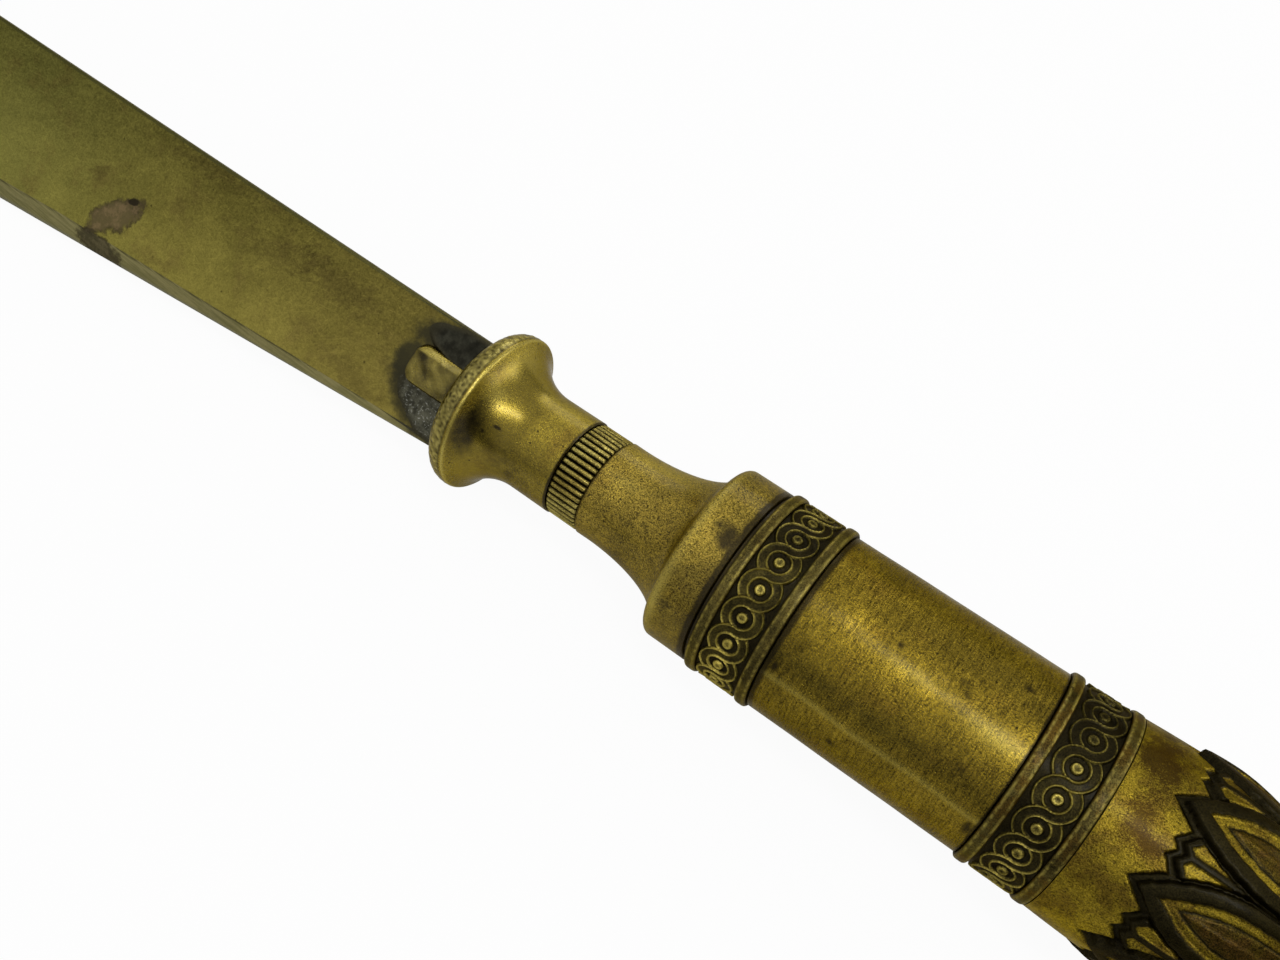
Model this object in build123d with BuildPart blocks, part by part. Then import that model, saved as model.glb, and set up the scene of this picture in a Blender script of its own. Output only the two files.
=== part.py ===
"""A brass letter opener lying on a desk: a knife blade soldered into a turned and stacked handle.

Stations are millimetres along the handle axis from the flange's front face, plus towards the pommel.
Heights are millimetres from that axis in the plane of the blade, plus towards the spine.
"""

import os
from math import asin, atan, cos, degrees, hypot, sin

from build123d import *

# Blade
BLADE_LENGTH = 152.0
BLADE_THICKNESS = 2.0
SPINE_ROOT = 6.2
SPINE_FAR = 6.9
SPINE_STRAIGHT = 110.0
TIP_HEIGHT = 4.6
TIP_ROUND = 1.5
BELLY_ROOT = 7.05
BELLY_FLARE = 13.0
FLARE_LENGTH = 73.5
BEVEL_WIDTH = 2.1
EDGE_THICKNESS = 0.6
TANG_WIDTH = 9.0
TANG_LENGTH = 5.0
SOLDER_FILM = 0.05

# Bolster with its trumpet flange, neck and two langets
FLANGE_R = 9.45
FLANGE_FACE_R = 7.6
RIM_ROUND = 2.1
FLANGE_THICKNESS = 2.8
TRUMPET_LENGTH = 5.95
NECK_R = 5.65
BOLSTER_LENGTH = 13.8
LANGET_LENGTH = 8.8
LANGET_WIDTH = 5.2
LANGET_HEIGHT = 1.6
LANGET_FACET = 1.1
LANGET_EDGE = 0.35
LANGET_NOSE = 0.9

# Solder left standing beside the langets
SOLDER_HEIGHT = 0.8
SOLDER_LENGTH = 7.0
SOLDER_INSET = 0.9
SOLDER_BULGE = 0.7
SOLDER_SLOPE = 0.6

# Reeded collar
COLLAR_LENGTH = 4.0
COLLAR_R = 5.5
REEDS = 46
REED_DEPTH = 0.3

# Shoulder ferrule
FERRULE_LENGTH = 17.65
FERRULE_NECK_R = 5.6
FERRULE_NECK = 1.45
FLARE_REACH = 10.5
FERRULE_R = 10.05
SHOULDER_ROUND = 0.9
SHOULDER_RISE = 0.95

# Ornament bands, each a guilloche ring between two fillet rings
FILLET_WIDTH = 1.3
FILLET_R = 10.45
RING_EASE = 0.25
GUILLOCHE_WIDTH = 4.75
GUILLOCHE_R = 10.2

# Barrel tube
BARREL_LENGTH = 23.65
BARREL_R = 10.0
BARREL_EASE = 0.2

# Leaf pommel
POMMEL_LENGTH = 22.35
POMMEL_START_R = 10.3
POMMEL_END_R = 4.6
BULB_STATION = 8.5
BULB_R = 10.5
LEAVES = 8
LEAF_TIP = 5.2
LEAF_END = 1.6
LEAF_WIDEST = 9.5
LEAF_WIDTH = 7.8
LEAF_BASE_WIDTH = 3.6
LEAF_BORDER = 1.15
LEAF_PROUD = 0.6
BULB_WALL = 2.4
POMMEL_END_WALL = 4.0
BUD_LENGTH = 8.0
BUD_WIDTH = 4.4
BUD_PROUD = 0.3
LEAF_ROOT = 0.6
LEAF_TURN = 5.0
SHELL_MARGIN = 0.8

# Washer and screwed end button
WASHER_R = 5.3
WASHER_THICKNESS = 0.9
BUTTON_R = 4.4
BUTTON_LENGTH = 5.2
BUTTON_NECK_R = 3.2
BUTTON_NECK = 1.0
BUTTON_TOP = 1.0

# Tie rod, spigots and their clearances
ROD_R = 2.5
ROD_START = 7.0
ROD_END_WALL = 1.6
THREAD_CLEARANCE = 0.05
ROD_CLEARANCE = 0.1
NOSE_R = 4.2
NOSE_REACH = 3.0
SPIGOT_R = 8.2
SPIGOT_REACH = 4.0
SPIGOT_WALL = 1.6
SPIGOT_CLEARANCE = 0.05

# Stations of the stack, front face of each piece
collar_start = BOLSTER_LENGTH
ferrule_start = collar_start + COLLAR_LENGTH
band_width = GUILLOCHE_WIDTH + 2 * FILLET_WIDTH
upper_band_start = ferrule_start + FERRULE_LENGTH
barrel_start = upper_band_start + band_width
lower_band_start = barrel_start + BARREL_LENGTH
pommel_start = lower_band_start + band_width
washer_start = pommel_start + POMMEL_LENGTH
button_start = washer_start + WASHER_THICKNESS
handle_length = button_start + BUTTON_LENGTH
bulb_station = pommel_start + BULB_STATION
leaf_tip = pommel_start + LEAF_TIP
rod_end = handle_length - ROD_END_WALL

# The belly leaves the bolster straight, then bends round to the tip on one tangent arc
flare = Vector(-FLARE_LENGTH, -BELLY_FLARE)
nose_centre = Vector(TIP_ROUND - BLADE_LENGTH, TIP_HEIGHT)
belly_end = nose_centre - Vector(0, TIP_ROUND)
flare_way = (flare - Vector(-SOLDER_FILM, -BELLY_ROOT)).normalized()
chord = belly_end - flare
belly_r = chord.length**2 / (2 * abs(flare_way.cross(chord).Z))
belly_centre = flare + Vector(flare_way.Y, -flare_way.X) * belly_r
belly_reach = belly_r - belly_centre.Y

# The opener rests on the flange's rim, the first fillet ring and, ahead of its widest point, the belly
rest_slope = (FILLET_R - FLANGE_R) / (upper_band_start + RING_EASE - FLANGE_THICKNESS)
tilt = atan(rest_slope)
widest_height = FLANGE_R + (belly_centre.X - FLANGE_THICKNESS) * rest_slope
belly_lead = belly_r * rest_slope * belly_reach / widest_height
belly_station = belly_centre.X - belly_lead
belly_depth = (belly_r**2 - belly_lead**2) ** 0.5 - belly_centre.Y
axis_height = FLANGE_R + (belly_station - FLANGE_THICKNESS) * rest_slope
half_edge = EDGE_THICKNESS / 2
roll = asin(axis_height / hypot(belly_depth, half_edge)) - atan(half_edge / belly_depth)
belly_out = belly_reach * cos(roll) + half_edge * sin(roll)
leaf_r = BULB_R + LEAF_PROUD

# Plane of the blade: x along the handle to the pommel, y to the spine, z out of the upper face
blade_plane = Plane(
    origin=(
        (BLADE_LENGTH - handle_length) / 2 * cos(tilt),
        (belly_out - leaf_r) / 2,
        FLANGE_R * cos(tilt) - FLANGE_THICKNESS * sin(tilt),
    ),
    x_dir=(cos(tilt), 0, sin(tilt)),
    z_dir=(-sin(tilt) * cos(roll), -sin(roll), cos(tilt) * cos(roll)),
)
handle_axis = Axis(blade_plane.origin, blade_plane.x_dir)
spine_axis = Axis(blade_plane.origin, blade_plane.y_dir)
face_axis = Axis(blade_plane.origin, blade_plane.z_dir)


def cross_plane(station):
    """Plane square to the handle axis at a station."""
    origin = blade_plane.from_local_coords((station, 0, 0))
    return Plane(origin=origin, x_dir=blade_plane.y_dir, z_dir=blade_plane.x_dir)


def radial_plane(station, angle):
    """Plane through the axis at a station, facing out at an angle from the blade's upper face."""
    out = blade_plane.z_dir.rotate(Axis((0, 0, 0), blade_plane.x_dir), angle)
    origin = blade_plane.from_local_coords((station, 0, 0))
    return Plane(origin=origin, x_dir=blade_plane.x_dir, z_dir=out)


# Blade: knife outline with a tang, bevelled to a blunt edge along the belly
with BuildPart() as blade:
    with BuildSketch(blade_plane):
        with BuildLine():
            spine_line = Line((-SOLDER_FILM, SPINE_ROOT), (-SPINE_STRAIGHT, SPINE_FAR))
            TangentArc(spine_line @ 1, nose_centre + Vector(0, TIP_ROUND), tangent=spine_line % 1)
            CenterArc(nose_centre, TIP_ROUND, 90, 180)
            belly_line = Line((-SOLDER_FILM, -BELLY_ROOT), flare)
            TangentArc(flare, belly_end, tangent=belly_line % 1)
            Line(spine_line @ 0, belly_line @ 0)
        make_face()
    extrude(amount=BLADE_THICKNESS / 2, both=True)
    for end in (-1, 0):
        flat = blade.faces().filter_by(face_axis).sort_by(face_axis)[end]
        chamfer(
            flat.edges().sort_by(spine_axis)[:2],
            length=BEVEL_WIDTH,
            length2=(BLADE_THICKNESS - EDGE_THICKNESS) / 2,
            reference=flat,
        )
    with BuildSketch(blade_plane):
        with Locations(((TANG_LENGTH - SOLDER_FILM) / 2, 0)):
            Rectangle(TANG_LENGTH + SOLDER_FILM, TANG_WIDTH)
    extrude(amount=BLADE_THICKNESS / 2, both=True)

# Bolster: slotted trumpet flange with a langet on each blade face, neck and rear nose
slot_half = BLADE_THICKNESS / 2 + SOLDER_FILM
neck_drop = FLANGE_R - NECK_R
trumpet_r = (TRUMPET_LENGTH**2 + neck_drop**2) / (2 * neck_drop)
trumpet_end = FLANGE_THICKNESS + TRUMPET_LENGTH
nose_end = ferrule_start + NOSE_REACH
with BuildPart() as bolster:
    with BuildSketch(blade_plane):
        with BuildLine():
            rim_depth = FLANGE_R - FLANGE_FACE_R
            EllipticalCenterArc((RIM_ROUND, FLANGE_FACE_R), RIM_ROUND, rim_depth, 90)
            Line((RIM_ROUND, FLANGE_R), (FLANGE_THICKNESS, FLANGE_R))
            RadiusArc((FLANGE_THICKNESS, FLANGE_R), (trumpet_end, NECK_R), -trumpet_r)
            Polyline(
                (trumpet_end, NECK_R),
                (BOLSTER_LENGTH, NECK_R),
                (BOLSTER_LENGTH, NOSE_R),
                (nose_end, NOSE_R),
                (nose_end, 0),
                (0, 0),
                (0, FLANGE_FACE_R),
            )
        make_face()
    revolve(axis=handle_axis)
    for facing in (1, -1):
        with BuildSketch(blade_plane.offset(facing * slot_half)):
            with Locations(((FLANGE_THICKNESS - LANGET_LENGTH) / 2, 0)):
                Rectangle(FLANGE_THICKNESS + LANGET_LENGTH, LANGET_WIDTH)
        extrude(amount=facing * LANGET_HEIGHT)
        top = bolster.faces().filter_by(face_axis).sort_by(face_axis)[-1 if facing > 0 else 0]
        chamfer(top.edges().sort_by(spine_axis)[-1], LANGET_FACET)
        top = bolster.faces().filter_by(face_axis).sort_by(face_axis)[-1 if facing > 0 else 0]
        chamfer(top.edges().sort_by(spine_axis)[0], LANGET_EDGE)
        top = bolster.faces().filter_by(face_axis).sort_by(face_axis)[-1 if facing > 0 else 0]
        chamfer(top.edges().sort_by(handle_axis)[0], LANGET_NOSE)
    with BuildSketch(blade_plane):
        with Locations(((TANG_LENGTH + SOLDER_FILM) / 2, 0)):
            Rectangle(TANG_LENGTH + SOLDER_FILM, TANG_WIDTH + 2 * SOLDER_FILM)
    extrude(amount=slot_half, both=True, mode=Mode.SUBTRACT)
    with BuildSketch(cross_plane(ROD_START)):
        Circle(ROD_R + THREAD_CLEARANCE)
    extrude(amount=nose_end - ROD_START, mode=Mode.SUBTRACT)

# Solder: a low bank on each side of a langet, against the flange
solder_banks = []
for facing in (1, -1):
    with BuildPart() as solder:
        with BuildSketch(blade_plane.offset(facing * BLADE_THICKNESS / 2)):
            for root in (SPINE_ROOT - SOLDER_INSET, SOLDER_INSET - BELLY_ROOT):
                inner = LANGET_WIDTH / 2 * (1 if root > 0 else -1)
                with BuildLine():
                    Polyline((-SOLDER_LENGTH, inner), (0, inner), (0, root))
                    bulge = Vector(-SOLDER_LENGTH * SOLDER_BULGE, inner + (root - inner) * SOLDER_BULGE)
                    ThreePointArc((0, root), bulge, (-SOLDER_LENGTH, inner))
                make_face()
        extrude(amount=SOLDER_HEIGHT, dir=blade_plane.z_dir * facing)
        outer_curves = solder.edges().filter_by(GeomType.CIRCLE).group_by(face_axis)
        chamfer(outer_curves[-1 if facing > 0 else 0], SOLDER_SLOPE)
    solder_banks.append(solder)

# Reeded collar: a ring on the bolster's nose with grooves all round
with BuildPart() as reeded_collar:
    with BuildSketch(cross_plane(collar_start)):
        Circle(COLLAR_R)
        with PolarLocations(COLLAR_R, REEDS):
            Rectangle(2 * REED_DEPTH, REED_DEPTH, mode=Mode.SUBTRACT)
        Circle(NOSE_R + SPIGOT_CLEARANCE, mode=Mode.SUBTRACT)
    extrude(amount=COLLAR_LENGTH)

# Shoulder ferrule: neck, quarter-ellipse flare and shoulder, with a rear spigot for band and barrel
flare_start = ferrule_start + FERRULE_NECK
flare_end = flare_start + FLARE_REACH
lip_r = FERRULE_R - SHOULDER_RISE
front_spigot_end = barrel_start + SPIGOT_REACH
with BuildPart() as shoulder_ferrule:
    with BuildSketch(blade_plane):
        with BuildLine():
            Line((ferrule_start, FERRULE_NECK_R), (flare_start, FERRULE_NECK_R))
            EllipticalCenterArc((flare_start, lip_r), FLARE_REACH, lip_r - FERRULE_NECK_R, 270)
            lip = (flare_end + SHOULDER_ROUND, lip_r)
            EllipticalCenterArc(lip, SHOULDER_ROUND, SHOULDER_RISE, 90)
            Polyline(
                (flare_end + SHOULDER_ROUND, FERRULE_R),
                (upper_band_start, FERRULE_R),
                (upper_band_start, SPIGOT_R),
                (front_spigot_end, SPIGOT_R),
                (front_spigot_end, SPIGOT_R - SPIGOT_WALL),
                (upper_band_start, SPIGOT_R - SPIGOT_WALL),
                (upper_band_start, ROD_R + ROD_CLEARANCE),
                (nose_end, ROD_R + ROD_CLEARANCE),
                (nose_end, NOSE_R + SPIGOT_CLEARANCE),
                (ferrule_start, NOSE_R + SPIGOT_CLEARANCE),
                (ferrule_start, FERRULE_NECK_R),
            )
        make_face()
    revolve(axis=handle_axis)


def ring(station, width, radius, ease):
    """Ring on the spigots from a station, with its outer edges eased."""
    bore = SPIGOT_R + SPIGOT_CLEARANCE
    with BuildPart() as turned:
        with BuildSketch(blade_plane) as section:
            with Locations((station + width / 2, (bore + radius) / 2)):
                Rectangle(width, radius - bore)
            chamfer(section.vertices().group_by(Axis.Y)[-1], ease)
        revolve(axis=handle_axis)
    return turned


# Ornament bands: front fillet, guilloche ring and back fillet on each spigot
band_rings = {}
for band, start in (("upper", upper_band_start), ("lower", lower_band_start)):
    pattern_start = start + FILLET_WIDTH
    back_start = pattern_start + GUILLOCHE_WIDTH
    band_rings[f"{band}_front_fillet"] = ring(start, FILLET_WIDTH, FILLET_R, RING_EASE)
    band_rings[f"{band}_guilloche_band"] = ring(
        pattern_start, GUILLOCHE_WIDTH, GUILLOCHE_R, RING_EASE
    )
    band_rings[f"{band}_back_fillet"] = ring(back_start, FILLET_WIDTH, FILLET_R, RING_EASE)

# Barrel: plain tube between the two bands
barrel = ring(barrel_start, BARREL_LENGTH, BARREL_R, BARREL_EASE)

# Leaves of the pommel, cut from a shell that follows the bulb
closing_run = POMMEL_LENGTH - BULB_STATION
closing_drop = BULB_R - POMMEL_END_R
closing_r = (closing_run**2 + closing_drop**2) / (2 * closing_drop)
opening_drop = BULB_R - POMMEL_START_R
opening_r = (BULB_STATION**2 + opening_drop**2) / (2 * opening_drop)
leaf_end = washer_start - LEAF_END
leaf_length = leaf_end - leaf_tip


def bulb_radius(station, proud):
    """Radius of the bulb's skin, or of a skin that stands proud of it, at a station."""
    curve = opening_r if station < bulb_station else closing_r
    reach = curve + proud
    return BULB_R - curve + (reach**2 - (station - bulb_station) ** 2) ** 0.5


def leaf_shell(proud):
    """Closed line round the shell that a row of leaves is cut from."""
    start = leaf_tip - SHELL_MARGIN
    end = leaf_end + SHELL_MARGIN
    crest = Vector(bulb_station, BULB_R + proud)
    inner_crest = Vector(bulb_station, BULB_R - LEAF_ROOT)
    front = Vector(start, bulb_radius(start, proud))
    back = Vector(end, bulb_radius(end, proud))
    inner_front = Vector(start, bulb_radius(start, -LEAF_ROOT))
    inner_back = Vector(end, bulb_radius(end, -LEAF_ROOT))
    RadiusArc(front, crest, opening_r + proud)
    RadiusArc(crest, back, closing_r + proud)
    Line(back, inner_back)
    RadiusArc(inner_crest, inner_back, closing_r - LEAF_ROOT)
    RadiusArc(inner_front, inner_crest, opening_r - LEAF_ROOT)
    Line(inner_front, front)


def leaf_line(length, widest, width, base_width):
    """Closed pointed leaf from its tip at the origin along x."""
    for way in (1, -1):
        side = Vector(widest, way * width / 2)
        TangentArc(side, (0, 0), tangent=(-1, 0))
        TangentArc(side, (length, way * base_width / 2), tangent=(1, 0))
    Line((length, base_width / 2), (length, -base_width / 2))


leaf_pitch = 360 / LEAVES
leaf_planes = [radial_plane(leaf_tip, LEAF_TURN + k * leaf_pitch) for k in range(LEAVES)]
bud_planes = [radial_plane(leaf_tip, LEAF_TURN + (k + 0.5) * leaf_pitch) for k in range(LEAVES)]
with BuildPart() as leaves:
    with BuildSketch(*leaf_planes):
        with BuildLine():
            leaf_line(leaf_length, LEAF_WIDEST, LEAF_WIDTH, LEAF_BASE_WIDTH)
        make_face()
        offset(amount=-LEAF_BORDER, kind=Kind.INTERSECTION, mode=Mode.SUBTRACT)
    extrude(amount=leaf_r + LEAF_PROUD)
    with BuildSketch(blade_plane):
        with BuildLine():
            leaf_shell(LEAF_PROUD)
        make_face()
    revolve(axis=handle_axis, mode=Mode.INTERSECT)

with BuildPart() as buds:
    with BuildSketch(*bud_planes):
        with BuildLine():
            leaf_line(BUD_LENGTH, BUD_LENGTH / 2, BUD_WIDTH, BUD_WIDTH / 2)
        make_face()
    extrude(amount=leaf_r + LEAF_PROUD)
    with BuildSketch(blade_plane):
        with BuildLine():
            leaf_shell(BUD_PROUD)
        make_face()
    revolve(axis=handle_axis, mode=Mode.INTERSECT)

# Pommel: hollow bulb with the leaves cast on, a flared front and a spigot for band and barrel
rear_spigot_start = lower_band_start - SPIGOT_REACH
cavity_end = washer_start - POMMEL_END_WALL
cavity_end_r = bulb_radius(cavity_end, -BULB_WALL)
with BuildPart() as leaf_pommel:
    with BuildSketch(blade_plane):
        with BuildLine():
            RadiusArc((pommel_start, POMMEL_START_R), (bulb_station, BULB_R), opening_r)
            RadiusArc((bulb_station, BULB_R), (washer_start, POMMEL_END_R), closing_r)
            Polyline(
                (washer_start, POMMEL_END_R),
                (washer_start, ROD_R + ROD_CLEARANCE),
                (cavity_end, ROD_R + ROD_CLEARANCE),
                (cavity_end, cavity_end_r),
                (bulb_station, BULB_R - BULB_WALL),
                (pommel_start, SPIGOT_R - SPIGOT_WALL),
                (rear_spigot_start, SPIGOT_R - SPIGOT_WALL),
                (rear_spigot_start, SPIGOT_R),
                (pommel_start, SPIGOT_R),
                (pommel_start, POMMEL_START_R),
            )
        make_face()
    revolve(axis=handle_axis)
    add(leaves.part)
    add(buds.part)

# Washer under the button
with BuildPart() as end_washer:
    with BuildSketch(blade_plane) as washer_section:
        bore = ROD_R + ROD_CLEARANCE
        with Locations((washer_start + WASHER_THICKNESS / 2, (bore + WASHER_R) / 2)):
            Rectangle(WASHER_THICKNESS, WASHER_R - bore)
        chamfer(washer_section.vertices().group_by(Axis.Y)[-1], WASHER_THICKNESS / 3)
    revolve(axis=handle_axis)

# Button: turned end nut with a bead and a blind threaded hole
bead_start = button_start + BUTTON_NECK
crown_start = (bead_start + handle_length) / 2
with BuildPart() as end_button:
    with BuildSketch(blade_plane):
        with BuildLine():
            Polyline(
                (button_start, ROD_R + THREAD_CLEARANCE),
                (button_start, BUTTON_NECK_R),
                (bead_start, BUTTON_NECK_R),
            )
            bead_rise = BUTTON_R - BUTTON_NECK_R
            bead_run = crown_start - bead_start
            EllipticalCenterArc((crown_start, BUTTON_NECK_R), bead_run, bead_rise, 90)
            crown_rise = BUTTON_R - BUTTON_TOP
            crown_run = handle_length - crown_start
            EllipticalCenterArc((crown_start, BUTTON_TOP), crown_run, crown_rise)
            Polyline(
                (handle_length, BUTTON_TOP),
                (handle_length, 0),
                (rod_end + THREAD_CLEARANCE, 0),
                (rod_end + THREAD_CLEARANCE, ROD_R + THREAD_CLEARANCE),
                (button_start, ROD_R + THREAD_CLEARANCE),
            )
        make_face()
    revolve(axis=handle_axis)

# Tie rod: screwed into the bolster and the button, it draws the stack together
with BuildPart() as tie_rod:
    with BuildSketch(cross_plane(ROD_START + THREAD_CLEARANCE)):
        Circle(ROD_R)
    extrude(amount=rod_end - ROD_START - THREAD_CLEARANCE)

pieces = {
    "blade": blade,
    "bolster": bolster,
    "front_solder": solder_banks[0],
    "back_solder": solder_banks[1],
    "reeded_collar": reeded_collar,
    "shoulder_ferrule": shoulder_ferrule,
    **band_rings,
    "barrel": barrel,
    "leaf_pommel": leaf_pommel,
    "end_washer": end_washer,
    "end_button": end_button,
    "tie_rod": tie_rod,
}
os.makedirs("parts", exist_ok=True)
for name, piece in pieces.items():
    piece.part.label = name
    export_step(piece.part, f"parts/{name}.step")

print(f"handle {handle_length:.2f} mm, tilt {degrees(tilt):.3f} deg, roll {degrees(roll):.3f} deg")
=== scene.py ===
import math

import bpy
import numpy as np
from bpy.props import FloatProperty, FloatVectorProperty, IntProperty, PointerProperty
from mathutils import Matrix, Vector


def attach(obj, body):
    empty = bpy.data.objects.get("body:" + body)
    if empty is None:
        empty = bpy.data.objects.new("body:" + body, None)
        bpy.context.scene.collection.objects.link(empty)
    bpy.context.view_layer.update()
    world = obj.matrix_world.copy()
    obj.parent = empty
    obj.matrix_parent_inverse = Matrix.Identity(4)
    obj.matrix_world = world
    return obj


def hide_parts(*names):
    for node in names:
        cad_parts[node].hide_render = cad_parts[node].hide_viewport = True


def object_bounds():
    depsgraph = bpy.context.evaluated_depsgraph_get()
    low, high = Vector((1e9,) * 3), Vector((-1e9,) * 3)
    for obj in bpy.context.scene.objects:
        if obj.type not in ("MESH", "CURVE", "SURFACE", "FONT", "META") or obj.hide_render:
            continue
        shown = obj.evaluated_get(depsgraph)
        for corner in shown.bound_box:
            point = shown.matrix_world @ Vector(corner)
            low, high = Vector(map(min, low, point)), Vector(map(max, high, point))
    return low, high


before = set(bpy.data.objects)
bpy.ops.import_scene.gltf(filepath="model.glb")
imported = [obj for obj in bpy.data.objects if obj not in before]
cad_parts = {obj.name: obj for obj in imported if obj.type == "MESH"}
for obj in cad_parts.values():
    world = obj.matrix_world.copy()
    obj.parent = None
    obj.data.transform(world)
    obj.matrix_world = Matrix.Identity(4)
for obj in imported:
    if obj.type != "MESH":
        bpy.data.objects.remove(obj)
CAD_BOX = [list(corner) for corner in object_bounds()]

bl_info = {
    "name": "Brass Letter Opener",
    "version": (1, 0, 0),
    "blender": (4, 5, 0),
    "location": "View3D > Sidebar > Opener",
    "description": "Builds an aged brass letter opener with a turned, ornamented handle",
    "category": "Add Mesh",
}

MM = 0.001

# Handle frame: stations run along the axis to the pommel, then heights to the spine and out of the upper face
AXIS_START = np.array((24.5137, 0.4406, 9.3499))
TILT = math.radians(1.741)
ROLL = math.radians(28.363)
ALONG = np.array((math.cos(TILT), 0.0, math.sin(TILT)))
FACE = np.array((-math.sin(TILT) * math.cos(ROLL), -math.sin(ROLL), math.cos(TILT) * math.cos(ROLL)))
SPINE = np.cross(FACE, ALONG)

# Stations of the stack in millimetres
FLANGE_FACE = 0.35
TRUMPET_END = 9.1
COLLAR_START = 14.15
FERRULE_START = 18.15
NOSE_END = 21.15
SHOULDER_START = 31.0
UPPER_BAND_START = 35.8
BARREL_START = 43.15
FRONT_SPIGOT_END = 47.15
BACK_SPIGOT_END = 62.8
LOWER_BAND_START = 66.8
POMMEL_START = 74.15
LEAF_START = 79.3
CREST = 82.65
WASHER_START = 96.5
BUTTON_START = 97.4
CROWN_START = 100.5
HANDLE_END = 102.6

# Radii and widths in millimetres
NECK_R = 5.65
RIM_INNER_R = 7.6
NOSE_R = 4.2
COLLAR_BORE_R = 4.25
COLLAR_WIDTH = 4.0
SHOULDER_R = 10.05
FILLET_WIDTH = 1.3
BAND_R = 9.95
BAND_WIDTH = 4.75
PLAIT_R = 10.3
CREST_R = 10.5
LEAF_R = 10.8
SPIGOT_R = 8.2
BORE_R = 8.25
ROD_BORE_R = 2.6
SLOT_R = 0.9

# Tones of films, stains and places of wear, and of painted shade and painted highlights
GREEN_TIP = (0.150, 0.152, 0.040)
BROWN_ROOT = (0.190, 0.146, 0.033)
BROWN_CLOUD = (0.125, 0.094, 0.026)
BROWN_SMUDGE = (0.070, 0.050, 0.016)
BLADE_PIT = (0.030, 0.024, 0.010)
SPINE_EDGE_SHADE = (0.060, 0.062, 0.026)
DULL_BEVEL = (0.198, 0.184, 0.084)
PALE_BEVEL = (0.318, 0.284, 0.134)
BEVEL_SHADE_LINE = (0.052, 0.050, 0.020)
CUTTING_EDGE = (0.235, 0.225, 0.150)
DARK_COPPER = (0.118, 0.088, 0.046)
PALE_COPPER = (0.195, 0.135, 0.072)
DARK_STAIN = (0.052, 0.044, 0.026)
PALE_STAIN = (0.110, 0.090, 0.050)
STAIN_RIM = (0.040, 0.032, 0.018)
STAIN_SPOT = (0.022, 0.018, 0.012)
FLUX = (0.036, 0.033, 0.019)
BROWN_BRASS = (0.140, 0.086, 0.010)
TARNISH = (0.090, 0.065, 0.008)
DARK_SPOT = (0.055, 0.038, 0.008)
TURNED_PIT = (0.018, 0.012, 0.004)
STIPPLED_RIM = (0.246, 0.206, 0.056)
GRIME_AND_SHADE = (0.018, 0.013, 0.004)
PITTED_BROWN = (0.085, 0.050, 0.008)
RUST = (0.074, 0.038, 0.008)
CARVED_PIT = (0.020, 0.012, 0.004)
POMMEL_STAIN = (0.048, 0.026, 0.005)
SOLDER_SPARK = (0.34, 0.34, 0.29)
THIN_SOLDER = (0.040, 0.036, 0.020)
REED_TOP = (0.42, 0.35, 0.095)
REED_SIDE = (0.22, 0.165, 0.034)
METAL_GLANCE = (0.55, 0.50, 0.38, 1.0)

# Patches on blade and pommel: middle, half lengths, turn and strength
BLADE_SMUDGES = (
    ((-22.0, 2.4), (7.0, 2.0), -0.1, 0.42),
    ((-30.0, 1.6), (6.0, 1.8), 0.2, 0.32),
    ((-44.9, 5.5), (7.0, 1.5), 0.05, 0.40),
    ((-59.9, -2.7), (1.5, 1.0), 0.4, 0.5),
    ((-15.0, -5.5), (6.0, 1.6), -0.2, 0.35),
)
FLUX_PATCHES = (
    ((-3.6, 4.2), (6.4, 2.2), 0.12, 0.9),
    ((-5.0, -3.9), (6.0, 2.7), -0.42, 0.9),
    ((-8.6, -0.6), (2.4, 2.6), 0.0, 0.9),
)
POMMEL_STAINS = (
    ((76.8, 3.2), (1.7, 2.6), 0.2, 0.85),
    ((78.3, 2.2), (1.5, 1.7), 0.0, 0.9),
    ((76.4, 8.4), (3.0, 2.6), 0.0, 0.9),
    ((75.8, -3.6), (1.2, 1.6), 0.0, 0.4),
)


# Settings


def length_property(name, description, default):
    """Length property in metres."""
    return FloatProperty(name=name, description=description, default=default, unit="LENGTH")


def count_property(name, description, default, least):
    """Whole number property."""
    return IntProperty(name=name, description=description, default=default, min=least)


def colour_property(name, description, default):
    """Colour property."""
    return FloatVectorProperty(name=name, description=description, default=default, subtype="COLOR")


class OpenerSizes(bpy.types.PropertyGroup):
    """Sizes of the letter opener"""

    blade_length: length_property("Blade length", "Flange to tip", 0.152)
    blade_thickness: length_property("Blade thickness", "Face to face", 0.002)
    flange_radius: length_property("Flange radius", "Rim of the bolster", 0.00945)
    barrel_radius: length_property("Barrel radius", "Plain grip", 0.010)
    fillet_radius: length_property("Fillet radius", "Plain rings of the bands", 0.01045)
    reeds: count_property("Reeds", "Reeds round the collar", 46, 3)
    eyes: count_property("Eyes", "Eyes round each guilloche band", 20, 6)
    band_relief: length_property("Band relief", "Height of the plait", 0.00034)
    leaves: count_property("Leaves", "Large leaves round the pommel", 8, 3)
    leaf_relief: length_property("Leaf relief", "Height of the leaf borders", 0.0006)


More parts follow.
